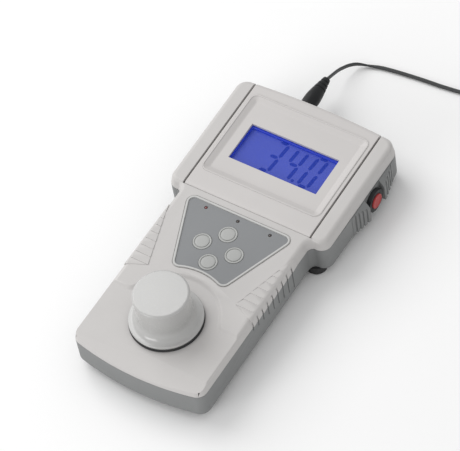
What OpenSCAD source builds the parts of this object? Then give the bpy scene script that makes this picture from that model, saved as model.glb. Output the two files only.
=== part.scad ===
// Portable turbidity meter with its mains lead. Millimetres, +Z up, +Y towards the display end.
// The origin is the centre of the footprint, on the surface that the meter stands on.

/* [Housing] */
// Length from the front end to the back of the display head
body_l = 228; // [220:1:280]
// Width of the display head
head_w = 119; // [116:1:150]
// Length of the display head
head_l = 95; // [92:1:110]
// How far the head stands out past the neck on each side
shoulder_step = 11.5; // [9.5:0.5:14]
// Height of the lower shell
lower_h = 20; // [19:0.5:25]
// Height of the upper shell at the keypad
upper_h = 7; // [6.5:0.5:10]
// Wall of both shells
wall = 2.4; // [2:0.1:3]
// Drop from the keypad plateau to the front deck
step_drop = 1.2; // [0.6:0.1:2]
// Rise of the head's top from its front edge to its back
head_rise = 1.9; // [0:0.1:4]
// Bow radius of the front end
front_bow_r = 200; // [150:5:400]
// Bow radius of the back end
back_bow_r = 600; // [400:10:900]
// Corner radius of the front end
front_corner_r = 7; // [7:0.5:9]
// Corner radius at the front of the head
head_corner_r = 7; // [6:0.5:8]
// Corner radius at the back of the head
back_corner_r = 9; // [8:0.5:11]
// Rounding of the upper edges
edge_r = 3.5; // [2:0.5:4]
// Draft of the upper shell's sides
side_draft = 1; // [0:0.1:1.5]
// Thickness of the keypad plateau and the front deck
deck_t = 2.4; // [2:0.1:2.8]

/* [Feet] */
// Height that the feet hold the housing above the surface
foot_h = 5.5; // [3:0.5:8]
// Radius of a foot
foot_r = 7; // [5:0.5:8]
// Depth of the recess that a foot is glued into
foot_sunk = 1; // [0.5:0.1:1.5]

/* [Display] */
// Width of each shoulder beside the display bezel
shoulder_w = 12.4; // [11:0.1:15]
// Gap between the bezel and each shoulder
groove_w = 1; // [0.4:0.1:1.4]
// Distance from the lip's outside to the bezel's side
recess_margin = 3.4; // [3:0.1:6]
// Length of the recess from front to back
recess_l = 65; // [60:1:70]
// Distance from the head's front edge to the recess
recess_start = 17.7; // [14:0.1:20]
// Width of the sloping border of the recess
recess_bevel = 4.2; // [2:0.1:5]
// Width of the visible display
view_w = 65.4; // [60:0.1:70]
// Length of the visible display from front to back
view_l = 29.6; // [26:0.1:34]
// Distance from the head's front edge to the middle of the display
view_mid = 48.1; // [46:0.1:50]
// Thickness of the clear window
window_t = 1.5; // [1:0.1:1.6]
// Thickness of the liquid-crystal panel
lcd_t = 2; // [1.6:0.1:2.2]
// Thickness of the backlight
backlight_t = 2.6; // [2:0.1:2.8]
// Thickness of the circuit boards
board_t = 1.2; // [1:0.1:1.6]

/* [Keypad] */
// Half of the diagonal of the diamond of keys
key_spread = 11.85; // [11:0.05:14]
// Radius of a key
key_r = 6.1; // [5:0.1:6.5]
// Travel of a key
key_travel = 0.6; // [0.3:0.1:0.8]
// Distance from the head's front edge to the middle of the keys
keys_back = 31.2; // [28:0.1:34]
// Distance from the head's front edge to the indicator lights
lights_back = 7.7; // [6:0.1:9]
// Spacing of the indicator lights
lights_pitch = 23.8; // [20:0.1:26]
// Radius of an indicator light
light_r = 1; // [0.8:0.1:1.2]
// Depth of the recess that the foil lies in
foil_sunk = 0.6; // [0.4:0.1:0.8]

/* [Sample well] */
// Distance from the front end to the axis of the well
well_back = 41.8; // [40:0.1:46]
// Radius of the well, which takes a 25 mm vial
well_r = 12.7; // [11:0.1:13.2]
// Wall of the well's tube
well_wall = 2.8; // [2:0.1:3]
// Height of the well's rim above the front deck
well_rim = 6; // [4:0.5:8]
// Thickness of the cap's wall at its top
cap_wall = 2.4; // [2:0.1:4]
// How far the cap's rim stands out past its wall
cap_flange = 5.7; // [4:0.1:7]
// Height of the cap
cap_h = 27; // [24:0.5:34]
// Thickness of the gasket under the cap
gasket_t = 2; // [1:0.1:3]
// Radius of a lamp or detector
optic_r = 2.5; // [2:0.1:3]
// Height of the light path above the well's seat
optic_rise = 11; // [10:0.5:14]

/* [Power switch and supply] */
// Distance from the back of the head to the switch
switch_back = 38.8; // [36:0.1:42]
// Height of the switch's axis above the underside
switch_rise = 10.1; // [9.8:0.1:11]
// Radius of the button
button_r = 5.4; // [5:0.1:6]
// How far the button stands out of the housing
button_out = 4; // [3.8:0.1:5]
// Travel of the button
button_travel = 2; // [1:0.1:2]
// How far the ribbed bulges stand out of the sides
bulge_out = 4; // [2:0.1:5]
// Sideways place of the supply jack
jack_x = -16; // [-20:0.5:-8]
// Height of the jack's axis above the underside
jack_rise = 11.5; // [10:0.1:12]
// Radius of the plug's pin sleeve
plug_r = 2.75; // [2.5:0.05:2.75]
// Length of the plug's moulding outside the housing
plug_l = 31; // [28:0.5:36]
// Radius of a battery cell
cell_r = 7.1; // [5.2:0.1:7.1]
// Length of a battery cell
cell_l = 50.5; // [44:0.1:50.5]
// Number of battery cells
cell_count = 4; // [2:1:4]

/* [Mains lead] */
// Diameter of the lead
lead_d = 2.8; // [2.4:0.1:3]
// Radius of the coil at the middle of its turns
coil_r = 16.8; // [15:0.1:17]
// Turns side by side in the coil
coil_columns = 4; // [3:1:4]
// Layers of turns in the coil
coil_rows = 3; // [2:1:4]

/* [Hidden] */
$fn = 64;
fit_gap = 0.05;     // radial clearance of a running fit
easy_gap = 0.3;     // clearance beside pieces that only sit or slide loosely

front_y = -body_l / 2;
back_y = body_l / 2;
head_y = back_y - head_l;
hw = head_w / 2;
nw = hw - shoulder_step;
inside_r = shoulder_step - head_corner_r;
neck_overlap = 0.3;
base_z = foot_h;
floor_z = base_z + wall;
seam_z = base_z + lower_h;
deck_z = seam_z + upper_h;
front_deck_z = deck_z - step_drop;
deck_under_z = deck_z - deck_t;
front_under_z = front_deck_z - deck_t;
head_z = deck_z + 0.4;
head_slope = head_rise / head_l;
inner_x = hw - wall;
inner_back_y = back_y - wall;

front_bow_c = [0, front_y + front_bow_r];
front_corner_c = [nw - front_corner_r, front_bow_c[1]
    - sqrt(pow(front_bow_r - front_corner_r, 2) - pow(nw - front_corner_r, 2))];
front_turn = asin((nw - front_corner_r) / (front_bow_r - front_corner_r));
back_bow_c = [0, back_y - back_bow_r];
back_corner_c = [hw - back_corner_r, back_bow_c[1]
    + sqrt(pow(back_bow_r - back_corner_r, 2) - pow(hw - back_corner_r, 2))];
back_turn = asin((hw - back_corner_r) / (back_bow_r - back_corner_r));

well_c = [0, front_y + well_back];
keys_c = [0, head_y - keys_back];
key_turns = [180, 90, 0, 270];
lights_y = head_y - lights_back;
step_y = well_c[1] + 8.9;
step_r = 33;
foil_r = step_r + 7.8;
band_y = front_y + 15.2;
band_slope = 15;
band_t = 1.6;

seat_z = deck_z - 3.5;
bezel_hw = hw - shoulder_w - groove_w / 2;
bezel_y = head_y + 2.5;
recess_hw = bezel_hw - recess_margin;
recess_y = head_y + recess_start;
view_y = head_y + view_mid;
recess_depth = 1.6;
window_edge = 1.4;
window_top_z = seat_z + 1.7;
window_z = window_top_z - window_t;
lcd_z = seat_z - lcd_t - 0.1;
backlight_z = lcd_z - backlight_t - 0.1;
display_board_z = backlight_z - board_t - 0.1;

main_board_z = floor_z + 11.6;
main_board_hw = 36;
main_board_y0 = keys_c[1] - 32;
main_board_y1 = head_y - 4.5;
main_top_z = main_board_z + board_t;
tact_h = 3.5;
plunger_h = 0.9;
key_gap = 0.2;
key_flange_t = 0.9;
board_post_xy = [for (x = [-1, 1], y = [main_board_y0 + 4, main_board_y1 - 4]) [x * (main_board_hw - 4), y]];

case_screw_r = 1.45;
case_boss_r = 4.2;
case_split_z = floor_z + 8;
case_head_z = base_z + 3;
case_head_r = 2.9;
case_xy = [for (side = [-1, 1], p = [
    [nw - 7.6, front_y + 30], [nw - 7.6, head_y - 39], [hw - 9.5, head_y + 17], [hw - 9.5, back_y - 24]
]) [side * p[0], p[1]]];
foot_xy = [for (side = [-1, 1], p = [
    [nw - 12, front_y + 15], [nw, head_y + 4], [hw - 10.5, back_y - 10.5]
]) [side * p[0], p[1]]];

tube_r = well_r + well_wall;
well_seat_z = floor_z + 2.1;
rim_z = front_deck_z + well_rim;
optic_z = well_seat_z + optic_rise;
block_hw = tube_r + 5.5;
block_top_z = front_under_z - 1.5;
ear_z = floor_z + 4;
ear_t = 3;
ear_c = block_hw + 1.2;
optic_bore_r = optic_r + fit_gap;
gasket_z = front_deck_z + gasket_t;
cap_bore_r = tube_r + 0.1;
cap_top_r = cap_bore_r + cap_wall;
cap_rim_r = cap_top_r + cap_flange;
cap_roof_t = 3;

switch_y = back_y - switch_back;
switch_z = base_z + switch_rise;
collar_r = 8;
collar_t = 3;
barrel_r = 5.5;
switch_box_x = hw - 21;
switch_bore_r = 4.5;
nut_t = 2.5;

jack_z = base_z + jack_rise;
jack_l = 13;
jack_wall_y = back_bow_c[1] + sqrt(pow(back_bow_r, 2) - pow(jack_x, 2));
plug_body_r = 5.4;

cell_pitch = 2 * cell_r + 0.5;
bay_x = -7;
bay_hw = cell_pitch * cell_count / 2 + 0.6;
jack_room = 19.5;
bay_y1 = back_y - jack_room;
bay_y0 = bay_y1 - cell_l - 6;
bay_wall = 1.6;
door_t = 2;
door_hw = bay_hw + 1;
door_tongue = 2;
bay_floor_z = base_z + door_t + easy_gap + 1.6;
rail_w = 4.6;
rail_top_z = base_z + 4.6;
cell_z = base_z + door_t + 0.35 + cell_r;
contact_t = 0.4;
trim = 0.05;        // how far a skin runs past the plane that trims it
base_r = 2;
tongue_gap = 0.15;
tongue_t = 0.95;
tongue_h = 1.4;
foil_lip_h = 0.4;
foil_lip_w = 1.4;

lead_r = lead_d / 2;
coil_c = [95, 204.8];
near_route = [
    [-16, 145, 17], [-16, 150, 15], [-16, 155, 13], [-16, 161, 10], [-14, 169, 6.5], [-11, 174, 4],
    [-6, 177, 2.3], [-1, 179, 1.5], [5, 180.5, 1.5], [16, 182, 1.5], [32, 183.5, 1.5], [48, 184.5, 1.5],
    [62, 186, 1.5], [72, 188, 1.5], [82, 190.5, 1.5], [95, 192, 1.5]
];
far_route = [
    [116, 205, 7], [116, 214, 5.5], [117, 224, 3], [118, 233.5, 1.5], [119.7, 239.8, 1.5],
    [124.3, 244.3, 1.5], [130.5, 246, 2], [136.7, 244.3, 3.5], [141.3, 239.8, 6], [143, 234, 8]
];
relief_l = 20;
adapter_size = [40, 62, 26];
adapter_xy = [143, far_route[9][1] - relief_l - adapter_size[1] / 2];
exit_z = far_route[9][2];

// Points of an arc about c from angle a0 to angle a1.
function arc(c, r, a0, a1, n) =
    [for (k = [0:n]) let (a = a0 + (a1 - a0) * k / n) [c[0] + r * cos(a), c[1] + r * sin(a)]];
function tail(list) = [for (k = [1:len(list) - 1]) list[k]];
// A right half that ends on the axis, and its mirror image; first is 1 when it starts there too.
function both_sides(right, first = 1) =
    concat(right, [for (k = [len(right) - 2:-1:first]) [-right[k][0], right[k][1]]]);

// The back corner and half of the back bow, drawn inwards by i.
function back_half(i) = concat(
    arc(back_corner_c, back_corner_r - i, 0, 90 - back_turn, 5),
    tail(arc(back_bow_c, back_bow_r - i, 90 - back_turn, 90, 3)));

// The front bow's right half and the right front corner, drawn inwards by i.
function front_half(i) = concat(
    arc(front_bow_c, front_bow_r - i, -90, front_turn - 90, 5),
    tail(arc(front_corner_c, front_corner_r - i, front_turn - 90, 0, 5)));

// Outline of the whole housing, drawn inwards by i.
function body_plan(i) = both_sides(concat(
    front_half(i),
    arc([nw + inside_r, head_y - inside_r], inside_r + i, 180, 90, 4),
    tail(arc([hw - head_corner_r, head_y + head_corner_r], head_corner_r - i, -90, 0, 5)),
    back_half(i)));

// Outline of the neck alone, which runs on into the head, drawn inwards by i.
function neck_plan(i) = both_sides(concat(
    front_half(i),
    arc([nw + inside_r, head_y - inside_r + neck_overlap], inside_r + i, 180, 95, 4),
    [[nw + inside_r - 1, head_y + head_corner_r], [0, head_y + head_corner_r + 1]]));

// Outline of the display head alone, drawn inwards by i.
function head_plan(i) = both_sides(concat(
    arc([hw - head_corner_r, head_y + head_corner_r], head_corner_r - i, -90, 0, 5),
    back_half(i)), 0);

// A rectangle with rounded corners, centred on c.
function rounded(c, w, l, r) = concat(
    arc(c + [w / 2 - r, r - l / 2], r, -90, 0, 4), arc(c + [w / 2 - r, l / 2 - r], r, 0, 90, 4),
    arc(c + [r - w / 2, l / 2 - r], r, 90, 180, 4), arc(c + [r - w / 2, r - l / 2], r, 180, 270, 4));

function lifted(points, z, slope = 0) = [for (p = points) [p[0], p[1], z + slope * (p[1] - head_y)]];

// A closed solid through rings that have the same number of points.
module loft(rings) {
    n = len(rings[0]);
    top = len(rings) - 1;
    sides = [for (k = [0:top - 1], j = [0:n - 1])
        [k * n + j, (k + 1) * n + j, (k + 1) * n + (j + 1) % n, k * n + (j + 1) % n]];
    bottom_cap = [for (j = [0:n - 1]) j];
    top_cap = [for (j = [n - 1:-1:0]) top * n + j];
    polyhedron([for (ring = rings) each ring], concat(sides, [bottom_cap, top_cap]));
}

module prism(points, z0, z1) translate([0, 0, z0]) linear_extrude(z1 - z0) polygon(points);

module post(xy, r, z0, z1) translate([xy[0], xy[1], z0]) cylinder(r = r, h = z1 - z0);

module box(low, high) translate(low) cube(high - low);

// A cylinder along X or Y, starting at p.
module rod_x(p, r, l) translate(p) rotate([0, 90, 0]) cylinder(r = r, h = l);
module rod_y(p, r, l) translate(p) rotate([-90, 0, 0]) cylinder(r = r, h = l);

module mirrored() {
    children();
    mirror([1, 0, 0]) children();
}

// What the children have between two heights, trimmed flat.
module between(z0, z1) intersection() {
    children();
    box([-head_w, front_y - 20, z0], [head_w, back_y + 20, z1]);
}

// The neck's skin, drafted and rounded towards the deck.
module neck_skin() between(seam_z, deck_z) loft(concat(
    [lifted(neck_plan(-side_draft / (upper_h - edge_r)), seam_z - 1)],
    [for (a = [0:30:90]) lifted(
        neck_plan(side_draft + edge_r * (1 - cos(a))), deck_z + trim - edge_r * (1 - sin(a)))]));

// The head's skin with its rising top.
module head_skin() difference() {
    between(seam_z, deck_z + 9) loft(concat(
        [lifted(head_plan(-side_draft / (head_z + head_rise - edge_r - seam_z)), seam_z - 1)],
        [for (a = [0:30:90]) lifted(
            head_plan(side_draft + edge_r * (1 - cos(a))),
            head_z + trim - edge_r * (1 - sin(a)), head_slope)]));
    translate([0, head_y, head_z]) rotate([atan(head_slope), 0, 0])
        box([-head_w, -20, 0], [head_w, 2 * head_l, 20]);
}

// The front deck's outline: straight across, and round the well.
// All that lies in front of the front deck's crease and above the sloped band, from z on.
module above_band(z) translate([0, band_y, front_deck_z]) rotate([band_slope, 0, 0])
    box([-head_w, -60, z], [head_w, 0, 20]);
module front_zone() {
    offset(r = -6) offset(r = 6) {
        translate([-head_w, front_y - 20]) square([2 * head_w, step_y - front_y + 20]);
        translate(well_c) circle(r = step_r);
    }
}

// The foil's outline: a trapezoid with its front edge hollowed round the well.
module foil_plan(grow = 0) {
    offset(r = 3.5 + grow) offset(delta = -3.5) difference() {
        polygon([[-38, head_y - 4.2], [38, head_y - 4.2], [17, keys_c[1] - 26], [-17, keys_c[1] - 26]]);
        translate(well_c) circle(r = foil_r, $fn = 96);
    }
}

// Nine grip grooves on the right side, fanning out from the seam's edge.
module grip_grooves() {
    groove_count = 9;
    groove_pitch = 5.8;
    for (k = [0:groove_count - 1]) {
        y = head_y - 21.5 - groove_pitch * k;
        l = 4 + 12.5 * k / (groove_count - 1);
        translate([nw + 1, y - 2, deck_z]) rotate([0, 0, 12]) translate([-l, 0, -1.4]) cube([l, 0.7, 2]);
    }
}

module upper_shell() color([0.78, 0.77, 0.76]) {
    difference() {
        union() {
            neck_skin();
            head_skin();
        }
        // the hollow under the front deck and the bezel, and the taller one under the keypad
        difference() {
            prism(body_plan(wall), seam_z - 1, front_under_z - 0.5);
            above_band(-band_t);
        }
        box([-nw + wall + 1, step_y + 3, seam_z - 1], [nw - wall - 1, head_y + wall, deck_under_z]);
        intersection() {
            prism(head_plan(wall), seam_z - 1, deck_z - 2.6);
            mirrored() box([bezel_hw + groove_w + 1.6, head_y, 0], [hw, back_y, deck_z]);
        }
        // the front deck and the sloped band at the front end
        translate([0, 0, front_deck_z]) linear_extrude(10) front_zone();
        above_band(0);
        // the bezel's pocket and the display's opening
        box([-bezel_hw - groove_w, bezel_y - 0.1, seat_z], [bezel_hw + groove_w, back_y + 5, deck_z + 9]);
        box([-recess_hw, view_y - 23.5, 0], [recess_hw, view_y + 23.5, deck_z + 9]);
        // the foil's recess, keys and lights
        translate([0, 0, deck_z - foil_sunk]) linear_extrude(5) foil_plan();
        for (a = key_turns)
            post(keys_c + key_spread * [cos(a), sin(a)], key_r + key_gap, 0, deck_z + 1);
        for (k = [-1:1]) post([k * lights_pitch, lights_y], light_r + 0.2, 0, deck_z + 1);
        post(well_c, tube_r + 0.2, 0, deck_z + 1);
        mirrored() grip_grooves();
    }
    // the lip round the foil
    translate([0, 0, deck_z - 0.3]) linear_extrude(0.3 + foil_lip_h) difference() {
        foil_plan(foil_lip_w);
        foil_plan(0.1);
    }
    for (p = case_xy) difference() {
        post(p, case_boss_r - 0.6, case_split_z, p[1] < step_y ? front_under_z : deck_under_z + 0.3);
        post(p, case_screw_r - 0.1, case_split_z - 1, case_split_z + 9);
    }
}

// A ribbed bulge on the right side between two places along it.
module bulge(y0, y1, tall_end) {
    groove_count = 4;
    rib_groove_w = 1.3;
    rib_groove_d = 0.6;
    low = base_z + 1;
    crest_top = base_z + 14;
    difference() {
        hull() {
            box([hw - 1, y0, low], [hw + 0.2, y1, seam_z - 0.5]);
            box([hw + bulge_out - 0.8, tall_end - 0.6, low], [hw + bulge_out, tall_end + 0.6, crest_top]);
        }
        for (k = [1:groove_count]) {
            y = y0 + (y1 - y0) * k / (groove_count + 1);
            x = hw + bulge_out * (tall_end > y0 + 1 ? (y - y0) : (y1 - y)) / (y1 - y0);
            box([x - rib_groove_d, y - rib_groove_w / 2, base_z], [x + 3, y + rib_groove_w / 2, seam_z]);
        }
    }
}

module door_rails() {
    mirrored_about_bay() box([door_hw + easy_gap, bay_y0 - 6, base_z + 0.2],
        [door_hw + easy_gap + rail_w, inner_back_y + 1, rail_top_z]);
}

module mirrored_about_bay() translate([bay_x, 0, 0]) mirrored() children();

module lower_shell() color([0.45, 0.46, 0.46]) {
    difference() {
        union() {
            difference() {
                between(base_z, seam_z) loft(concat(
                    [for (a = [0:30:90]) lifted(
                        body_plan(base_r * (1 - sin(a))), base_z - trim + base_r * (1 - cos(a)))],
                    [lifted(body_plan(0), seam_z + 1)]));
                prism(body_plan(wall), floor_z, seam_z + 1);
            }
            // the tongue that locates the upper shell, left out under the sloped band
            difference() {
                union() {
                    prism(body_plan(wall - 0.3), seam_z - 2, seam_z - 0.5);
                    prism(body_plan(wall + tongue_gap), seam_z - 1, seam_z + tongue_h);
                }
                prism(body_plan(wall + tongue_gap + tongue_t), seam_z - 3, seam_z + 2);
                box([-head_w, front_y - 5, seam_z - 0.6], [head_w, band_y + 2, seam_z + 5]);
            }
            mirrored() {
                bulge(switch_y - 25, switch_y - 9, switch_y - 9.6);
                bulge(switch_y + 9, switch_y + 26, switch_y + 9.6);
            }
            door_rails();
            // the plate over the door, and the walls of the battery bay
            mirrored_about_bay() box([-1, bay_y0 - 6, base_z + 1],
                [door_hw + easy_gap + 1, inner_back_y + 1, bay_floor_z]);
            mirrored_about_bay() box([bay_hw, bay_y0 - bay_wall, bay_floor_z - 1],
                [bay_hw + bay_wall, bay_y1 + bay_wall, cell_z]);
            for (y = [bay_y0 - bay_wall, bay_y1]) box([bay_x - bay_hw - 1, y, bay_floor_z - 1],
                [bay_x + bay_hw + 1, y + bay_wall, cell_z + cell_r]);
            for (p = case_xy) post(p, case_boss_r, floor_z - 0.5, case_split_z);
            for (p = board_post_xy) post(p, 3, floor_z - 0.5, main_board_z);
            for (x = [-1, 1], y = [-1, 1]) post(well_c + ear_c * [x, y], 3.2, floor_z - 0.5, ear_z);
        }
        for (p = case_xy) {
            post(p, case_screw_r + 0.25, 0, case_split_z + 1);
            post(p, case_head_r + 0.3, 0, case_head_z);
        }
        for (p = board_post_xy) post(p, 1, floor_z + 2, main_board_z + 1);
        for (x = [-1, 1], y = [-1, 1]) post(well_c + ear_c * [x, y], 1, floor_z - 0.5, ear_z + 1);
        for (p = foot_xy) post(p, foot_r + 0.1, 0, base_z + foot_sunk);
        // the door's opening, its way out at the back, and the grooves for its tongues
        box([bay_x - door_hw - easy_gap, bay_y0 - 4 - easy_gap, 0],
            [bay_x + door_hw + easy_gap, back_y + 5, base_z + door_t + easy_gap]);
        mirrored_about_bay() box([door_hw, bay_y0 - 4 - easy_gap, base_z + 0.8],
            [door_hw + door_tongue + easy_gap, back_y + 5, base_z + door_t + easy_gap]);
        box([bay_x - bay_hw, bay_y0, 0], [bay_x + bay_hw, bay_y1, cell_z + cell_r + 1]);
        rod_x([hw - wall - 2, switch_y, switch_z], barrel_r + 0.1, wall + 8);
        rod_y([jack_x, back_y - wall - 2, jack_z], 4.7, wall + 6);
    }
}

module display_bezel() color([0.8, 0.79, 0.78]) {
    difference() {
        union() {
            intersection() {
                head_skin();
                box([-bezel_hw, bezel_y, seat_z], [bezel_hw, back_y + 1, deck_z + 9]);
            }
            // the lip round the recess
            recess_block(1.2, seat_z + 1, head_z + 0.5, head_slope);
        }
        loft([
            lifted(recess_ring(-recess_bevel), head_z - recess_depth, head_slope),
            lifted(recess_ring(0), head_z, head_slope),
            lifted(recess_ring(0.4), head_z + 2, head_slope)]);
        box([-view_w / 2, view_y - view_l / 2, seat_z - 1], [view_w / 2, view_y + view_l / 2, deck_z + 9]);
        box([-view_w / 2 - window_edge, view_y - view_l / 2 - window_edge, seat_z - 1],
            [view_w / 2 + window_edge, view_y + view_l / 2 + window_edge, window_top_z]);
        for (p = display_screw_xy()) post(p, 0.9, seat_z - 1, seat_z + 1.6);
    }
    for (p = display_screw_xy()) difference() {
        post(p, 2.2, display_board_z + board_t, seat_z);
        post(p, 0.9, display_board_z, seat_z + 1);
    }
}

function recess_ring(grow) = rounded([0, recess_y + recess_l / 2],
    2 * (recess_hw + grow), recess_l + 2 * grow, max(4 + grow, 1));
function display_screw_xy() = [for (x = [-1, 1], y = [-1, 1]) [x * 36.6, view_y + y * 20]];

module recess_block(grow, z0, z1, slope) loft([
    lifted(recess_ring(grow), z0), lifted(recess_ring(grow), z1 - 0.2, slope),
    lifted(recess_ring(grow - 0.3), z1, slope)]);

module display_window() color([0.6, 0.7, 0.9, 0.4])
    box([-view_w / 2 - window_edge + 0.1, view_y - view_l / 2 - window_edge + 0.1, window_z],
        [view_w / 2 + window_edge - 0.1, view_y + view_l / 2 + window_edge - 0.1, window_top_z]);

module lcd_glass() color([0.27, 0.33, 0.75])
    box([-34.4, view_y - 17.5, lcd_z], [34.4, view_y + 17.5, lcd_z + lcd_t]);

module lcd_backlight() color([0.95, 0.95, 1])
    box([-34.4, view_y - 17, backlight_z], [34.4, view_y + 17, backlight_z + backlight_t]);

module display_board() color([0.1, 0.35, 0.2]) difference() {
    box([-39, view_y - 22.5, display_board_z], [39, view_y + 22.5, display_board_z + board_t]);
    for (p = display_screw_xy()) post(p, 1.3, 0, seat_z);
}

// A small pan-head screw pointing along +Z from z, or along -Z when down is true.
module pan_screw(p, z, r, l, head_r, head_h, down = false) translate([p[0], p[1], z])
    mirror([0, 0, down ? 1 : 0]) difference() {
        union() {
            cylinder(r = r, h = l);
            translate([0, 0, -head_h]) cylinder(r = head_r, h = head_h);
        }
        translate([0, 0, -head_h - 0.1]) {
            box([-head_r * 0.6, -0.3, 0], [head_r * 0.6, 0.3, 0.8]);
            box([-0.3, -head_r * 0.6, 0], [0.3, head_r * 0.6, 0.8]);
        }
    }

module display_screws() color("silver")
    for (p = display_screw_xy()) pan_screw(p, display_board_z, 1, 6, 2, 0.9);

module keypad_foil() color([0.54, 0.55, 0.55]) difference() {
    translate([0, 0, deck_z - foil_sunk]) linear_extrude(foil_sunk - 0.1) foil_plan(-0.15);
    for (a = key_turns) post(keys_c + key_spread * [cos(a), sin(a)], key_r + key_gap, 0, deck_z + 1);
    for (k = [-1:1]) post([k * lights_pitch, lights_y], light_r + 0.2, 0, deck_z + 1);
}

// A round key with a rimmed top, a flange that keeps it in and a stem over its switch.
module key_cap(index) color([0.83, 0.83, 0.82]) {
    p = keys_c + key_spread * [cos(key_turns[index]), sin(key_turns[index])];
    stem_z = main_top_z + tact_h + plunger_h + key_travel + 0.1;
    translate([p[0], p[1], 0]) rotate_extrude() polygon([
        [0, stem_z], [2.5, stem_z], [2.5, deck_under_z - key_flange_t - 0.1],
        [key_r + 0.6, deck_under_z - key_flange_t - 0.1], [key_r + 0.6, deck_under_z - 0.1],
        [key_r, deck_under_z - 0.1], [key_r, deck_z + 0.1], [key_r - 0.3, deck_z + 0.3],
        [key_r - 0.9, deck_z + 0.3], [key_r - 1.1, deck_z + 0.1], [key_r - 1.6, deck_z + 0.1],
        [key_r - 1.9, deck_z + 0.4], [0, deck_z + 0.5]]);
}

module key_left() key_cap(0);
module key_back() key_cap(1);
module key_right() key_cap(2);
module key_front() key_cap(3);

module key_switches() color([0.15, 0.15, 0.15]) for (a = key_turns) {
    p = keys_c + key_spread * [cos(a), sin(a)];
    box([p[0] - 3, p[1] - 3, main_top_z], [p[0] + 3, p[1] + 3, main_top_z + tact_h]);
    post(p, 1.75, main_top_z + tact_h - 0.1, main_top_z + tact_h + plunger_h);
}

module indicator_leds() color([0.45, 0.2, 0.2]) for (k = [-1:1]) translate([k * lights_pitch, lights_y, 0]) {
    translate([0, 0, main_top_z]) cylinder(r = light_r + 0.7, h = 5);
    cylinder_between(light_r, main_top_z + 4, deck_z - 0.1);
}

module cylinder_between(r, z0, z1) translate([0, 0, z0]) cylinder(r = r, h = z1 - z0);

module main_board() color([0.1, 0.35, 0.2]) difference() {
    box([-main_board_hw, main_board_y0, main_board_z], [main_board_hw, main_board_y1, main_top_z]);
    for (p = board_post_xy) post(p, 1.3, 0, main_top_z + 1);
}

module board_chips() color([0.12, 0.12, 0.13]) {
    // controller, amplifier, regulator, connector and a crystal under the keys
    box([-6, main_board_y0 + 2, main_top_z], [6, main_board_y0 + 9, main_top_z + 1.8]);
    box([18, main_board_y0 + 12, main_top_z], [26, main_board_y0 + 20, main_top_z + 1.8]);
    box([-28, main_board_y0 + 14, main_top_z], [-21, main_board_y0 + 19, main_top_z + 2.2]);
    box([5, main_board_y1 - 4, main_top_z], [18, main_board_y1 - 0.5, main_top_z + 3]);
    rod_x([20, main_board_y0 + 30, main_top_z + 1.5], 1.5, 8);
}

module board_screws() color("silver")
    for (p = board_post_xy) pan_screw(p, main_top_z, 1.1, 6, 2.1, 1, true);

// A flat cable from the main board's connector up to the display board.
module flex_cable() color([0.9, 0.9, 0.85]) {
    y0 = main_board_y1 - 0.4;
    y1 = view_y - 20;
    z0 = main_top_z + 1.4;
    z1 = display_board_z - 0.4;
    t = 0.3;
    rotate([90, 0, 90]) translate([0, 0, 6]) linear_extrude(11) polygon([
        [y0, z0], [y0 + 3, z0], [y0 + 8, z1 - t], [y1, z1 - t], [y1, z1 + 0.4],
        [y1 - t, z1 + 0.4], [y1 - t, z1], [y0 + 7.8, z1], [y0 + 2.8, z0 + t], [y0, z0 + t]]);
}

// The light-shield cap: a knob with a hollow foot that flares into a rounded rim.
module shade_cap() color([0.85, 0.85, 0.84]) {
    z0 = gasket_z;
    z1 = z0 + cap_h;
    cove_r = 4.6;
    rim_top = z0 + 5.2;
    wall_r = cap_top_r + 0.7;
    translate([well_c[0], well_c[1], 0]) difference() {
        rotate_extrude($fn = 96) polygon(concat(
            [[0, z0], [cap_rim_r - 1.6, z0]],
            arc([cap_rim_r - 1.6, z0 + 2.6], 1.6, -40, 60, 4),
            arc([wall_r + cove_r, rim_top + cove_r - 0.6], cove_r, 262, 180, 5),
            arc([cap_top_r - 1.8, z1 - 1.8], 1.8, 10, 90, 4),
            [[0, z1 + 0.2]]));
        cylinder_between(cap_bore_r, z0 - 1, z1 - cap_roof_t);
    }
}

module cap_gasket() color([0.08, 0.08, 0.08]) difference() {
    post(well_c, cap_rim_r + 0.7, front_deck_z, gasket_z);
    post(well_c, tube_r + 0.15, front_deck_z - 1, gasket_z + 1);
}

module sample_well() color([0.1, 0.1, 0.1]) difference() {
    union() {
        post(well_c, tube_r, floor_z, rim_z);
        box([well_c[0] - block_hw, well_c[1] - block_hw, floor_z],
            [well_c[0] + block_hw, well_c[1] + block_hw, block_top_z]);
        for (x = [-1, 1], y = [-1, 1]) post(well_c + ear_c * [x, y], 4, ear_z, ear_z + ear_t);
    }
    post(well_c, well_r, well_seat_z, rim_z + 1);
    rod_x([well_c[0] - block_hw - 5, well_c[1], optic_z], optic_bore_r, 2 * block_hw + 10);
    rod_y([well_c[0], well_c[1], optic_z], optic_bore_r, block_hw + 5);
    // the posts under the ears, and the screws through them
    for (x = [-1, 1], y = [-1, 1]) {
        post(well_c + ear_c * [x, y], 3.4, floor_z - 1, ear_z);
        post(well_c + ear_c * [x, y], 1.4, floor_z, ear_z + ear_t + 1);
        post(well_c + ear_c * [x, y], 2.6, ear_z + ear_t, block_top_z + 1);
    }
}

module well_screws() color("silver") for (x = [-1, 1], y = [-1, 1])
    pan_screw(well_c + ear_c * [x, y], ear_z + ear_t, 1.1, 6, 2.2, 1.2, true);

module light_source() color([0.9, 0.9, 0.7]) {
    x = well_c[0] - block_hw + 0.5;
    rod_x([x - 1.5, well_c[1], optic_z], optic_r + 0.4, 1);
    rod_x([x - 0.6, well_c[1], optic_z], optic_r, 4.6);
}

module source_lens() color([0.8, 0.9, 1, 0.5]) intersection() {
    rod_x([well_c[0] - well_r - 1.6, well_c[1], optic_z], optic_r, 1.5);
    translate([well_c[0] - well_r - 5.6, well_c[1], optic_z]) sphere(r = 5.4);
}

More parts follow.
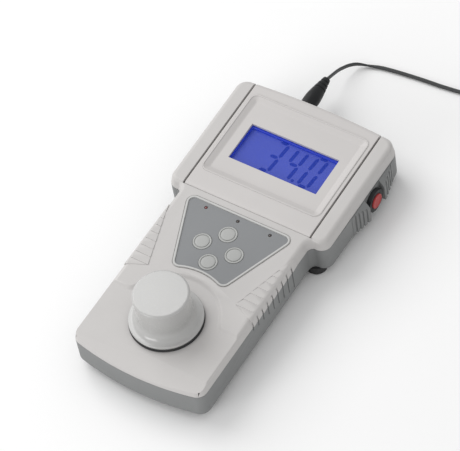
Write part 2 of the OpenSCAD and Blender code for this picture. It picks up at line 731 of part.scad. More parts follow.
module detectors() color([0.3, 0.3, 0.32]) {
    far = block_hw - 0.5;
    rod_x([well_c[0] + far - 4, well_c[1], optic_z], optic_r, 4.6);
    rod_x([well_c[0] + far + 0.5, well_c[1], optic_z], optic_r + 0.4, 1);
    rod_y([well_c[0], well_c[1] + far - 4, optic_z], optic_r, 4.6);
    rod_y([well_c[0], well_c[1] + far + 0.5, optic_z], optic_r + 0.4, 1);
}

module optic_boards() color([0.1, 0.35, 0.2]) {
    far = block_hw + 1;
    for (side = [-1, 1]) {
        x = well_c[0] + side * (far + board_t / 2);
        box([x - board_t / 2, well_c[1] - 9, optic_z - 8], [x + board_t / 2, well_c[1] + 9, optic_z + 5]);
    }
    box([well_c[0] - 12, well_c[1] + far, optic_z - 8],
        [well_c[0] + 12, well_c[1] + far + board_t, optic_z + 5]);
}

// Collar, threaded barrel and box of the push switch, bored for the button.
module switch_body() color([0.07, 0.07, 0.07]) difference() {
    union() {
        rod_x([hw, switch_y, switch_z], collar_r, collar_t);
        rod_x([switch_box_x + 4, switch_y, switch_z], barrel_r, hw - switch_box_x - 3);
        box([switch_box_x, switch_y - 6.5, switch_z - 6.5],
            [inner_x - nut_t - 2.5, switch_y + 6.5, switch_z + 6.5]);
    }
    rod_x([hw - 8, switch_y, switch_z], switch_bore_r, 20);
    rod_x([hw + 0.05, switch_y, switch_z], button_r + fit_gap, 20);
}

module switch_nut() color("silver") difference() {
    translate([inner_x - nut_t, switch_y, switch_z]) rotate([0, 90, 0]) cylinder(r = 7.3, h = nut_t, $fn = 6);
    rod_x([inner_x - nut_t - 1, switch_y, switch_z], barrel_r + fit_gap, nut_t + 2);
}

module power_button() color([0.7, 0.2, 0.2]) {
    cap_t = button_out - button_travel - 0.15;
    rod_x([hw + button_out - cap_t, switch_y, switch_z], button_r, cap_t);
    rod_x([hw - 4, switch_y, switch_z], switch_bore_r - fit_gap, button_out + 4 - cap_t / 2);
}

module dc_jack() color([0.1, 0.1, 0.1]) {
    y0 = inner_back_y - jack_l;
    difference() {
        union() {
            box([jack_x - 5, y0, jack_z - 5.5], [jack_x + 5, inner_back_y - 0.5, jack_z + 5.5]);
            rod_y([jack_x, y0 + 4, jack_z], 4.6, jack_wall_y + 0.3 - y0 - 4);
        }
        rod_y([jack_x, y0 + 3, jack_z], plug_r + fit_gap, 30);
    }
    rod_y([jack_x, y0 + 2, jack_z], 1, 9);
}

module plug_pin() color("silver") difference() {
    rod_y([jack_x, jack_wall_y - 9.4, jack_z], plug_r, 10.8);
    rod_y([jack_x, jack_wall_y - 10, jack_z], 1.1, 10);
}

// Radius of the plug's moulding along its taper, from 0 at its start to 1 at its tip.
function plug_taper_r(s) = plug_body_r - (plug_body_r - lead_r - 1.1) * pow(s, 1.3);

// The plug's moulding, with three rings where it tapers to the lead.
module plug_body() color([0.12, 0.12, 0.12]) {
    y0 = jack_wall_y + 0.4;
    straight = 13;
    taper = plug_l - straight;
    difference() {
        translate([jack_x, y0, jack_z]) rotate([-90, 0, 0]) difference() {
            rotate_extrude() polygon(concat(
                [[0, 0], [plug_body_r - 0.5, 0], [plug_body_r, 0.6]],
                [for (k = [0:8]) [plug_taper_r(k / 8), straight + taper * k / 8]],
                [[0, plug_l]]));
            for (k = [0:2]) translate([0, 0, straight + taper * (0.42 + 0.18 * k)]) difference() {
                cylinder(r = 8, h = 1);
                translate([0, 0, -1]) cylinder(r = plug_taper_r(0.5 + 0.18 * k) - 0.5, h = 3);
            }
        }
        rod_y([jack_x, y0 - 1, jack_z], plug_r, 2.2);
    }
}

module battery_cells() color([0.2, 0.35, 0.6]) for (k = [0:cell_count - 1]) {
    x = bay_x + (k - (cell_count - 1) / 2) * cell_pitch;
    flip = k % 2;
    y = bay_y0 + (flip == 0 ? 4.6 : 1.4 + 1);
    translate([x, y, cell_z]) rotate([-90, 0, 0]) {
        cylinder(r = cell_r, h = cell_l - 1);
        translate([0, 0, flip == 0 ? cell_l - 1.1 : -1]) cylinder(r = 2.7, h = 1.1);
    }
}

module spring_contacts() color("silver") for (k = [0:cell_count - 1]) {
    x = bay_x + (k - (cell_count - 1) / 2) * cell_pitch;
    flip = k % 2;
    translate([x, flip == 0 ? bay_y0 + 0.02 : bay_y1 - 0.02, cell_z]) rotate([flip == 0 ? -90 : 90, 0, 0]) {
        translate([-5, -5, 0]) cube([10, 10, contact_t]);
        for (j = [0:3]) translate([0, 0, contact_t + 0.4 + j * 0.9]) rotate_extrude()
            translate([4.6 - 0.5 * j, 0]) circle(r = 0.55, $fn = 16);
    }
}

module flat_contacts() color("silver") for (k = [0:cell_count - 1]) {
    x = bay_x + (k - (cell_count - 1) / 2) * cell_pitch;
    flip = k % 2;
    translate([x, flip == 0 ? bay_y1 - 0.02 : bay_y0 + 0.02, cell_z]) rotate([flip == 0 ? 90 : -90, 0, 0]) {
        translate([-5, -5, 0]) cube([10, 10, contact_t]);
        cylinder(r = 2.2, h = 0.9);
    }
}

module battery_door() color([0.42, 0.43, 0.43]) {
    y0 = bay_y0 - 4;
    difference() {
        box([bay_x - door_hw, y0, base_z], [bay_x + door_hw, back_y - 1, base_z + door_t]);
        for (k = [0:4]) box([bay_x - 8, back_y - 24 + 2.4 * k, base_z - 1],
            [bay_x + 8, back_y - 22.8 + 2.4 * k, base_z + 0.5]);
    }
    mirrored_about_bay() box([door_hw - 0.5, y0, base_z + 1.1],
        [door_hw + door_tongue, back_y - 4, base_z + door_t]);
}

module feet() color([0.1, 0.1, 0.1]) for (p = foot_xy) translate([p[0], p[1], 0]) rotate_extrude()
    polygon([
        [0, 0], [foot_r - 0.8, 0], [foot_r, 0.8], [foot_r, base_z + foot_sunk], [0, base_z + foot_sunk]
    ]);

module case_screws() color("silver")
    for (p = case_xy) pan_screw(p, case_head_z, case_screw_r, 13, case_head_r, 1.8);

// Points along a smooth curve through the route, at most gap apart.
function bend(a, b, c, d, t) = 0.5 * ((2 * b) + (c - a) * t + (2 * a - 5 * b + 4 * c - d) * t * t
    + (3 * b - a - 3 * c + d) * t * t * t);
function smooth(route, gap) = let (last = len(route) - 1) concat([for (k = [0:last - 1])
    let (steps = ceil(norm(route[k + 1] - route[k]) / gap)) for (j = [0:steps - 1])
        bend(route[max(k - 1, 0)], route[k], route[k + 1], route[min(k + 2, last)], j / steps)],
    [route[last]]);
function unit(v) = v / norm(v);

module tube(route, r, sides = 8) {
    path = smooth(route, 7);
    last = len(path) - 1;
    rings = [for (k = [0:last])
        let (along = unit(path[min(k + 1, last)] - path[max(k - 1, 0)]), side = unit(cross(along, [0, 0, 1])),
            up = cross(side, along))
        [for (j = [0:sides - 1]) path[k] + r * (cos(360 * j / sides) * side + sin(360 * j / sides) * up)]];
    loft(rings);
}

module lead_near() color([0.15, 0.15, 0.15]) tube(near_route, lead_r);
module lead_far() color([0.15, 0.15, 0.15]) tube(far_route, lead_r);

module lead_coil() color([0.15, 0.15, 0.15]) {
    half = coil_columns * lead_d / 2;
    translate([coil_c[0], coil_c[1], 0.1]) rotate_extrude() translate([coil_r - half, 0])
        square([2 * half, coil_rows * lead_d]);
}

module adapter_relief() color([0.12, 0.12, 0.12])
    translate([adapter_xy[0], far_route[9][1] - relief_l, exit_z]) rotate([-90, 0, 0])
        rotate_extrude() polygon([[0, 0], [4, 0], [3.6, 3], [lead_r + 0.8, relief_l], [0, relief_l]]);

module adapter_body() color([0.12, 0.12, 0.12]) difference() {
    loft([for (p = [[0, 2], [1, 0.6], [2.5, 0], [adapter_size[2] - 2.5, 0], [adapter_size[2] - 1, 0.6],
        [adapter_size[2], 2]]) lifted(rounded(adapter_xy, adapter_size[0] - 2 * p[1],
            adapter_size[1] - 2 * p[1], 6), p[0])]);
    for (x = [-6.35, 6.35]) box([adapter_xy[0] + x - 0.75, adapter_xy[1] - 3.15, adapter_size[2] - 6],
        [adapter_xy[0] + x + 0.75, adapter_xy[1] + 3.15, adapter_size[2] + 1]);
}

module adapter_pins() color("silver") for (x = [-6.35, 6.35])
    box([adapter_xy[0] + x - 0.75, adapter_xy[1] - 3.15, adapter_size[2] - 6],
        [adapter_xy[0] + x + 0.75, adapter_xy[1] + 3.15, adapter_size[2] + 17]);

upper_shell();
lower_shell();
display_bezel();
display_window();
lcd_glass();
lcd_backlight();
display_board();
display_screws();
keypad_foil();
key_left();
key_back();
key_right();
key_front();
key_switches();
indicator_leds();
main_board();
board_chips();
board_screws();
flex_cable();
shade_cap();
cap_gasket();
sample_well();
well_screws();
light_source();
source_lens();
detectors();
optic_boards();
switch_body();
switch_nut();
power_button();
dc_jack();
plug_pin();
plug_body();
battery_cells();
spring_contacts();
flat_contacts();
battery_door();
feet();
case_screws();
lead_near();
lead_coil();
lead_far();
adapter_relief();
adapter_body();
adapter_pins();
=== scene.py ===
"""Looks of a portable turbidity meter with its mains lead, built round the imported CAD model.

Lengths in this script are millimetres in the model's own frame; they become metres where a mesh,
light or camera is made. X is to the right, +Y runs towards the display end and Z is up.
"""

import math

import bmesh
import bpy
from mathutils import Matrix, Vector


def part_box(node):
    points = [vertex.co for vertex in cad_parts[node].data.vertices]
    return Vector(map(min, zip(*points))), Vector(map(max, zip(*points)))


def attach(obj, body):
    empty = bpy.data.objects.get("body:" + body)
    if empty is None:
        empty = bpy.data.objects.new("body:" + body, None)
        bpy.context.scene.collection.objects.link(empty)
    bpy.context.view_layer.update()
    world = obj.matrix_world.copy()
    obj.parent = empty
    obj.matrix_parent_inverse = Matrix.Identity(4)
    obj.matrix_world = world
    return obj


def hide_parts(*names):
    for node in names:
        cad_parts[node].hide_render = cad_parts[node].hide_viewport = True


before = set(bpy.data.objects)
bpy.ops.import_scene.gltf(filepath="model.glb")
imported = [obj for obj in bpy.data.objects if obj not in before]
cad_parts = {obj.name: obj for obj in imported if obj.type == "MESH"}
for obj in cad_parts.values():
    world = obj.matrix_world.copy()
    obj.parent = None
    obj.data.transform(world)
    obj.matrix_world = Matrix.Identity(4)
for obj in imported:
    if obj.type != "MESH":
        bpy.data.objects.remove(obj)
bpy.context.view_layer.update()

MM = 0.001

# The housing, as in the CAD design.
FRONT_Y, HEAD_Y, BACK_Y = -114.0, 19.0, 114.0
HEAD_HW, NECK_HW = 59.5, 48.0
BASE_Z, FLOOR_Z, SEAM_Z, DECK_Z, FRONT_DECK_Z = 5.5, 7.9, 25.5, 32.5, 31.3
DECK_UNDER_Z, FRONT_UNDER_Z = 30.1, 28.9
HEAD_Z, HEAD_SLOPE = 32.9, 0.02
WALL, EDGE_R, BASE_R, DRAFT = 2.4, 3.5, 2.0, 1.0
ABOVE_Z = DECK_Z + 9  # clear above the housing, for tools that cut from the top
BAND_T = 1.6
FRONT_BOW_R, BACK_BOW_R = 200.0, 600.0
FRONT_CORNER_R, HEAD_CORNER_R, BACK_CORNER_R, INSIDE_R = 7.0, 7.0, 9.0, 4.5
BEZEL_HW, BEZEL_Y, GROOVE_W, SEAT_Z = 46.6, 21.5, 1.3, 29.0
RECESS_HW, RECESS_MID_Y, RECESS_L, RECESS_BEVEL, RECESS_DEPTH = 43.2, 69.2, 65.0, 4.2, 1.6
VIEW_Y, VIEW_W, VIEW_L = 67.1, 65.4, 29.6
WINDOW_TOP_Z, WINDOW_Z, LCD_TOP_Z = 30.7, 30.2, 28.9
WELL, TUBE_HOLE_R = (0.0, -72.2), 15.7
POST_R, UPPER_POST_R = 4.2, 3.6
SCREW_HOLE_R, SCREW_HEAD_R = 1.7, 3.2
STEP_Y, STEP_R, STEP_W, BAND_Y, BAND_SLOPE = -64.8, 31.6, 3.4, -98.8, 15.0
FOIL_R, FOIL_CORNER_R = 40.8, 3.5
GRIP_COUNT, GRIP_PITCH, GRIP_RISE = 9, 5.77, 0.5
GRIP_START, GRIP_INNER, GRIP_TIP = (46.0, 1.2), (32.5, -43.4), (45.9, -48.9)
KEYS_Y, KEY_SPREAD, KEY_R = -12.2, 11.85, 6.1
KEY_GAP, STEM_Z = 0.2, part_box("key_left")[0][2] / MM
LIGHTS_Y, LIGHTS_PITCH, LIGHT_HOLE_R = 11.3, 23.8, 1.2
GASKET_TOP_Z, CAP_H = 33.3, 27.0
SWITCH_Y, SWITCH_Z = 75.2, 15.6
JACK_X, JACK_Z, JACK_WALL_Y = -16.0, 17.0, 113.787
BAY_X, BAY_HW, BAY_Y0, BAY_Y1, DOOR_HW = -7.0, 30.0, 38.0, 94.5, 31.0
CELL_Z, CELL_R, DOOR_T, EASY = 14.95, 7.1, 2.0, 0.3
FOOT_R = 7.0
BULGE_OUT, BULGE_RIBS, RIB_W, RIB_DEPTH = 4.0, 4, 1.3, 0.6

# The lead's route, as in the CAD design.
LEAD_D = 2.8
NEAR_ROUTE = [
    (-16, 145, 17), (-16, 150, 15), (-16, 155, 13), (-16, 161, 10), (-14, 169, 6.5), (-11, 174, 4),
    (-6, 177, 2.3), (-1, 179, 1.5), (5, 180.5, 1.5), (16, 182, 1.5), (32, 183.5, 1.5), (48, 184.5, 1.5),
    (62, 186, 1.5), (72, 188, 1.5), (82, 190.5, 1.5),
]
COIL_C, COIL_R, COIL_COLUMNS, COIL_ROWS = (95.0, 204.8), 16.8, 4, 3
FAR_ROUTE = [
    (116, 214, 5.5), (117, 224, 3), (118, 233.5, 1.5), (119.7, 239.8, 1.5), (124.3, 244.3, 1.5),
    (130.5, 246, 2), (136.7, 244.3, 3.5), (141.3, 239.8, 6), (143, 234, 8),
]


# Camera, set first.
def make_camera():
    """A long lens from above, in front and to the right, as in the photograph."""
    data = bpy.data.cameras.new("camera")
    data.sensor_width = 36
    data.lens = 217.63
    data.clip_end = 20
    camera = bpy.data.objects.new("camera", data)
    bpy.context.scene.collection.objects.link(camera)
    right = Vector((0.84273, 0.52618, -0.11377))
    up = Vector((-0.37111, 0.72092, 0.58529))
    back = Vector((0.38998, -0.45102, 0.80281))
    turn = Matrix((right, up, back)).transposed().to_4x4()
    camera.matrix_world = Matrix.Translation((0.67907, -0.7822, 1.43588)) @ turn
    bpy.context.scene.camera = camera


# ---------------------------------------------------------------- outlines


def arc(c, r, a0, a1, n):
    """n + 1 points of an arc about c, from angle a0 to angle a1 in degrees."""
    turns = [math.radians(a0 + (a1 - a0) * k / n) for k in range(n + 1)]
    return [(c[0] + r * math.cos(t), c[1] + r * math.sin(t)) for t in turns]


def both_sides(right, from_axis=True):
    """A right half that ends on the axis, with its mirror image; from_axis: it starts there too."""
    left = [(-x, y) for x, y in right[1 if from_axis else 0 : -1]]
    return right + left[::-1]


def corner_of_bow(half, bow_r, corner_r, end_y, side):
    """Centre of the bow, centre of its right corner, and the turn between them in degrees."""
    bow = (0.0, end_y - side * bow_r)
    reach = bow_r - corner_r
    corner = (half - corner_r, bow[1] + side * math.sqrt(reach**2 - (half - corner_r) ** 2))
    return bow, corner, math.degrees(math.asin((half - corner_r) / reach))


def back_half(i):
    bow, corner, turn = corner_of_bow(HEAD_HW, BACK_BOW_R, BACK_CORNER_R, BACK_Y, 1)
    side = arc(corner, BACK_CORNER_R - i, 0, 90 - turn, 14)
    return side + arc(bow, BACK_BOW_R - i, 90 - turn, 90, 8)[1:]


def front_half(i):
    bow, corner, turn = corner_of_bow(NECK_HW, FRONT_BOW_R, FRONT_CORNER_R, FRONT_Y, -1)
    front = arc(bow, FRONT_BOW_R - i, -90, turn - 90, 14)
    return front + arc(corner, FRONT_CORNER_R - i, turn - 90, 0, 14)[1:]


def head_corner(i):
    return arc((HEAD_HW - HEAD_CORNER_R, HEAD_Y + HEAD_CORNER_R), HEAD_CORNER_R - i, -90, 0, 14)


def inside_corner(i, shift=0.0, end=90):
    return arc((NECK_HW + INSIDE_R, HEAD_Y - INSIDE_R + shift), INSIDE_R + i, 180, end, 12)


def body_plan(i):
    """Outline of the whole housing, drawn inwards by i."""
    return both_sides(front_half(i) + inside_corner(i) + head_corner(i)[1:] + back_half(i))


def neck_plan(i):
    """Outline of the neck, which runs on into the head, drawn inwards by i."""
    into_head = [(NECK_HW + INSIDE_R - 1, HEAD_Y + HEAD_CORNER_R), (0.0, HEAD_Y + HEAD_CORNER_R + 1)]
    return both_sides(front_half(i) + inside_corner(i, 0.3, 95) + into_head)


def head_plan(i):
    """Outline of the display head, drawn inwards by i."""
    return both_sides(head_corner(i) + back_half(i), from_axis=False)


def rounded(c, w, l, r, n=10):
    """A rectangle with rounded corners, centred on c."""
    x, y = w / 2 - r, l / 2 - r
    out = []
    for sx, sy, a in ((1, -1, -90), (1, 1, 0), (-1, 1, 90), (-1, -1, 180)):
        out += arc((c[0] + sx * x, c[1] + sy * y), r, a, a + 90, n)
    return out


def foil_outline(grow):
    """The keypad foil's outline: a trapezoid whose front edge is hollowed round the well."""
    top, foot = Vector((38.0, HEAD_Y - 4.2)), Vector((17.0, KEYS_Y - 26))
    along = (foot - top).normalized()
    inward = Vector((along.y, -along.x))
    on_line = top + FOIL_CORNER_R * inward
    upper = on_line + along * ((on_line.y - (top.y - FOIL_CORNER_R)) / -along.y)
    to_well = on_line - Vector(WELL)
    half_b = to_well.dot(along)
    gap = to_well.length_squared - (FOIL_R + FOIL_CORNER_R) ** 2
    lower = on_line + along * (-half_b - math.sqrt(half_b**2 - gap))
    side = math.degrees(math.atan2(-inward.y, -inward.x))
    well_turn = math.degrees(math.atan2(lower.y - WELL[1], lower.x - WELL[0]))
    r = FOIL_CORNER_R + grow
    right = arc(WELL, FOIL_R - grow, 90, well_turn, 16)
    right += arc(lower, r, well_turn + 180, side + 360, 10)
    right += arc(upper, r, side, 90, 10)
    return both_sides(right + [(0.0, HEAD_Y - 4.2 + grow)])


def lifted(points, z, slope=0.0):
    return [(x, y, z + slope * (y - HEAD_Y)) for x, y in points]


# ---------------------------------------------------------------- solids


def part_from(bm, name="part"):
    """An object from a bmesh in millimetres."""
    bmesh.ops.recalc_face_normals(bm, faces=bm.faces)
    bmesh.ops.scale(bm, vec=(MM, MM, MM), verts=bm.verts)
    mesh = bpy.data.meshes.new(name)
    bm.to_mesh(mesh)
    bm.free()
    obj = bpy.data.objects.new(name, mesh)
    bpy.context.scene.collection.objects.link(obj)
    return obj


def loft(rings, caps=True):
    """A closed skin through rings that have the same number of points."""
    bm = bmesh.new()
    rows = [[bm.verts.new(p) for p in ring] for ring in rings]
    n = len(rings[0])
    for low, high in zip(rows, rows[1:]):
        for j in range(n):
            bm.faces.new((low[j], low[(j + 1) % n], high[(j + 1) % n], high[j]))
    if caps:
        bm.faces.new(rows[0][::-1])
        bm.faces.new(rows[-1])
    return part_from(bm)


def prism(points, z0, z1):
    return loft([lifted(points, z0), lifted(points, z1)])


def box(low, high):
    ring = [(low[0], low[1]), (high[0], low[1]), (high[0], high[1]), (low[0], high[1])]
    return prism(ring, low[2], high[2])


def post(xy, r, z0, z1, n=72):
    return prism(arc(xy, r, 0, 360 - 360 / n, n - 1), z0, z1)


def lathe(profile, n=96):
    """A solid turned about Z from (radius, height) points whose first and last radius are 0."""
    bm = bmesh.new()
    low = bm.verts.new((0, 0, profile[0][1]))
    high = bm.verts.new((0, 0, profile[-1][1]))
    turns = [2 * math.pi * k / n for k in range(n)]
    rows = [[bm.verts.new((r * math.cos(t), r * math.sin(t), z)) for t in turns] for r, z in profile[1:-1]]
    for a, b in zip(rows, rows[1:]):
        for j in range(n):
            bm.faces.new((a[j], a[(j + 1) % n], b[(j + 1) % n], b[j]))
    for j in range(n):
        bm.faces.new((low, rows[0][(j + 1) % n], rows[0][j]))
        bm.faces.new((high, rows[-1][j], rows[-1][(j + 1) % n]))
    return part_from(bm)


def ring_lathe(profile, n=96):
    """A ring turned about Z from a closed loop of (radius, height) points."""
    bm = bmesh.new()
    turns = [2 * math.pi * k / n for k in range(n)]
    rows = [[bm.verts.new((r * math.cos(t), r * math.sin(t), z)) for t in turns] for r, z in profile]
    for a, b in zip(rows, rows[1:] + rows[:1]):
        for j in range(n):
            bm.faces.new((a[j], a[(j + 1) % n], b[(j + 1) % n], b[j]))
    return part_from(bm)


def placed(obj, at, axis="Z"):
    """obj turned so that its own Z runs along axis, and moved to a point."""
    turn = {"X": Matrix.Rotation(math.radians(90), 4, "Y"), "Y": Matrix.Rotation(math.radians(-90), 4, "X")}
    move = Matrix.Translation(Vector(at) * MM)
    obj.data.transform(move @ turn.get(axis, Matrix.Identity(4)))
    return obj


def rod(axis, at, r, l, n=64):
    return placed(post((0, 0), r, 0, l, n), at, axis)


def mirrored(obj):
    """A copy of obj on the other side."""
    twin = obj.copy()
    twin.data = obj.data.copy()
    bpy.context.scene.collection.objects.link(twin)
    twin.data.transform(Matrix.Scale(-1, 4, (1, 0, 0)))
    twin.data.flip_normals()
    return twin


def pair(obj):
    return [obj, mirrored(obj)]


def worked(body, tools, operation):
    """body with the tools joined to it, cut from it or crossed with it; the tools are used up."""
    for tool in tools:
        step = body.modifiers.new("step", "BOOLEAN")
        step.solver = "MANIFOLD"
        step.operation = operation
        step.object = tool
    bpy.context.view_layer.update()
    graph = bpy.context.evaluated_depsgraph_get()
    shaped = bpy.data.meshes.new_from_object(body.evaluated_get(graph))
    body.modifiers.clear()
    body.data = shaped
    for tool in tools:
        bpy.data.objects.remove(tool)
    return body


def cut(body, *tools):
    return worked(body, tools, "DIFFERENCE")


def joined(body, *tools):
    return worked(body, tools, "UNION")


def crossed(body, tool):
    return worked(body, [tool], "INTERSECT")


def smoothed(mesh, sharp_from):
    mesh.polygons.foreach_set("use_smooth", [True] * len(mesh.polygons))
    mesh.set_sharp_from_angle(angle=math.radians(sharp_from))


def piece(obj, name, body, material, nodes=(), bevel=0.0, sharp_from=35):
    """Names a finished piece, dresses it, and puts it on its body in place of its CAD nodes."""
    obj.name = name
    obj.data.name = name
    obj.data.materials.clear()
    obj.data.materials.append(material)
    smoothed(obj.data, 180 if bevel else sharp_from)
    if bevel:
        edge = obj.modifiers.new("edges", "BEVEL")
        edge.width = bevel * MM
        edge.segments = 2
        edge.limit_method = "ANGLE"
        edge.angle_limit = math.radians(32)
        edge.use_clamp_overlap = False
    normals = obj.modifiers.new("normals", "WEIGHTED_NORMAL")
    normals.keep_sharp = True
    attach(obj, body)
    if nodes:
        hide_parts(*nodes)
    return obj


# ---------------------------------------------------------------- materials


def node_of(tree, kind, **values):
    node = tree.nodes.new(kind)
    for key, value in values.items():
        if key in node.inputs:
            node.inputs[key].default_value = value
        else:
            setattr(node, key, value)
    return node


def moulded(name, colour, roughness, drift=0.03, grain=0.3, grain_scale=1800.0, wear=0.0, coat=0.0,
            metallic=0.0, specular=0.5, blotch_scale=22.0):
    """A moulded or metal surface: slow colour drift, fine grain in its bump and its roughness,
    and paler edges where it has worn."""
    material = bpy.data.materials.new(name)
    material.use_nodes = True
    tree = material.node_tree
    surface = tree.nodes["Principled BSDF"]
    surface.inputs["Metallic"].default_value = metallic
    surface.inputs["Specular IOR Level"].default_value = specular
    surface.inputs["Coat Weight"].default_value = coat
    surface.inputs["Coat Roughness"].default_value = 0.12
    place = node_of(tree, "ShaderNodeTexCoord")
    blotch = node_of(tree, "ShaderNodeTexNoise", Scale=blotch_scale, Detail=4.0, Roughness=0.6)
    tree.links.new(place.outputs["Object"], blotch.inputs["Vector"])
    tone = tree.nodes.new("ShaderNodeValToRGB")
    tone.color_ramp.elements[0].position = 0.3
    tone.color_ramp.elements[1].position = 0.7
    tone.color_ramp.elements[0].color = (*[max(0.0, c * (1 - drift)) for c in colour], 1)
    tone.color_ramp.elements[1].color = (*[min(1.0, c * (1 + drift)) for c in colour], 1)
    tree.links.new(blotch.outputs["Fac"], tone.inputs["Fac"])
    shade = tone.outputs["Color"]
    if wear:
        geometry = node_of(tree, "ShaderNodeNewGeometry")
        edges = node_of(tree, "ShaderNodeMapRange")
        edges.inputs["From Min"].default_value = 0.52
        edges.inputs["From Max"].default_value = 0.62
        edges.inputs["To Max"].default_value = wear
        tree.links.new(geometry.outputs["Pointiness"], edges.inputs["Value"])
        worn = node_of(tree, "ShaderNodeMix", data_type="RGBA")
        base, pale = [s for s in worn.inputs if s.type == "RGBA"]
        pale.default_value = (*[min(1.0, c * 1.25 + 0.06) for c in colour], 1)
        tree.links.new(edges.outputs["Result"], worn.inputs["Factor"])
        tree.links.new(shade, base)
        shade = next(s for s in worn.outputs if s.type == "RGBA")
    tree.links.new(shade, surface.inputs["Base Color"])
    fine = node_of(tree, "ShaderNodeTexNoise", Scale=grain_scale, Detail=3.0, Roughness=0.55)
    tree.links.new(place.outputs["Object"], fine.inputs["Vector"])
    gloss = node_of(tree, "ShaderNodeMapRange")
    gloss.inputs["To Min"].default_value = max(0.02, roughness - 0.06)
    gloss.inputs["To Max"].default_value = min(1.0, roughness + 0.06)
    tree.links.new(fine.outputs["Fac"], gloss.inputs["Value"])
    tree.links.new(gloss.outputs["Result"], surface.inputs["Roughness"])
    bump = node_of(tree, "ShaderNodeBump", Strength=grain, Distance=0.00006)
    tree.links.new(fine.outputs["Fac"], bump.inputs["Height"])
    tree.links.new(bump.outputs["Normal"], surface.inputs["Normal"])
    return material


def clear(name, colour, alpha, roughness):
    """A clear sheet or lens that lets what is behind it show, with fine polishing haze."""
    material = moulded(name, colour, roughness, drift=0.02, grain=0.05)
    material.node_tree.nodes["Principled BSDF"].inputs["Alpha"].default_value = alpha
    return material


def glowing(name, colour, roughness, strength):
    material = moulded(name, colour, roughness, drift=0.05, grain=0.1)
    surface = material.node_tree.nodes["Principled BSDF"]
    surface.inputs["Emission Color"].default_value = (*colour, 1)
    surface.inputs["Emission Strength"].default_value = strength
    return material


def brushed(name, colour, roughness):
    """Metal with fine lines across it."""
    material = moulded(name, colour, roughness, drift=0.06, grain=0.25, metallic=1.0)
    tree = material.node_tree
    place = next(n for n in tree.nodes if n.type == "TEX_COORD")
    fine = [n for n in tree.nodes if n.type == "TEX_NOISE"][-1]
    stretch = node_of(tree, "ShaderNodeMapping")
    stretch.inputs["Scale"].default_value = (1, 0.08, 1)
    tree.links.new(place.outputs["Object"], stretch.inputs["Vector"])
    tree.links.new(stretch.outputs["Vector"], fine.inputs["Vector"])
    return material


UPPER = moulded("upper_plastic", (0.53, 0.515, 0.505), 0.48, drift=0.02, grain=0.35, wear=0.25)
BEZEL = moulded("bezel_plastic", (0.55, 0.53, 0.52), 0.44, drift=0.02, grain=0.3, wear=0.25)
LOWER = moulded("lower_plastic", (0.21, 0.215, 0.215), 0.55, drift=0.04, grain=0.4, wear=0.2)
FOIL = moulded("foil", (0.215, 0.222, 0.23), 0.42, drift=0.02, grain=0.5, grain_scale=2600)
FOIL_RIM = moulded("foil_rim", (0.52, 0.52, 0.51), 0.42, drift=0.02, grain=0.3)
KEY = moulded("key", (0.40, 0.405, 0.395), 0.45, drift=0.02, grain=0.3, wear=0.3)
CAP = moulded("cap_plastic", (0.44, 0.438, 0.43), 0.26, drift=0.015, grain=0.05, coat=0.7)
BLACK = moulded("black_plastic", (0.014, 0.015, 0.016), 0.4, drift=0.15, grain=0.4, wear=0.2, specular=0.25)
RUBBER = moulded("black_rubber", (0.036, 0.036, 0.037), 0.75, drift=0.2, grain=0.6, grain_scale=1200,
                 specular=0.3)
RED = moulded("red_plastic", (0.42, 0.035, 0.035), 0.4, drift=0.05, grain=0.1, wear=0.15)
JACKET = moulded("lead_jacket", (0.032, 0.034, 0.035), 0.42, drift=0.15, grain=0.35)
BOARD = moulded("board", (0.02, 0.11, 0.045), 0.35, drift=0.12, grain=0.3, blotch_scale=260)
DIFFUSER = glowing("diffuser", (0.75, 0.78, 0.95), 0.4, 0.3)
LCD = glowing("lcd", (0.032, 0.058, 0.40), 0.5, 0.1)
# Painted shade: the border's darker, more saturated blue stands for the shade that the view opening's edge
# casts on the panel.
LCD_PAINTED_SHADE = glowing("lcd_border_painted_shade", (0.018, 0.04, 0.44), 0.5, 0.25)
LCD_DARK = moulded("lcd_segments", (0.012, 0.035, 0.34), 0.5, drift=0.03, grain=0.05, specular=0.15)
WINDOW = clear("clear_window", (0.05, 0.1, 0.6), 0.02, 0.06)
LENS = clear("lens", (0.9, 0.95, 1.0), 0.4, 0.05)
LED_RED = moulded("led_red", (0.16, 0.02, 0.02), 0.25, drift=0.1, grain=0.05, coat=0.5)
LED_DARK = moulded("led_dark", (0.05, 0.035, 0.03), 0.25, drift=0.1, grain=0.05, coat=0.5)
STEEL = brushed("steel", (0.56, 0.56, 0.58), 0.32)
NICKEL = brushed("nickel", (0.66, 0.64, 0.60), 0.22)
SLEEVE = moulded("cell_wrap", (0.03, 0.1, 0.06), 0.28, drift=0.08, grain=0.1, coat=0.3)
FLEX = moulded("flex_film", (0.35, 0.22, 0.06), 0.35, drift=0.05, grain=0.2)


# ---------------------------------------------------------------- housing


def fillet_rings(plan, inset, top, slope, steps=10):
    """Rings that round a skin over towards its top."""
    turns = [math.radians(90 * k / steps) for k in range(steps + 1)]
    return [lifted(plan(inset + EDGE_R * (1 - math.cos(t))), top - EDGE_R * (1 - math.sin(t)), slope)
            for t in turns]


def head_block():
    return loft([lifted(head_plan(0), SEAM_Z)] + fillet_rings(head_plan, DRAFT, HEAD_Z, HEAD_SLOPE))


def neck_block(grow=0.0):
    rings = fillet_rings(neck_plan, DRAFT - grow, DECK_Z + grow, 0.0)
    return loft([lifted(neck_plan(-grow), SEAM_Z)] + rings)


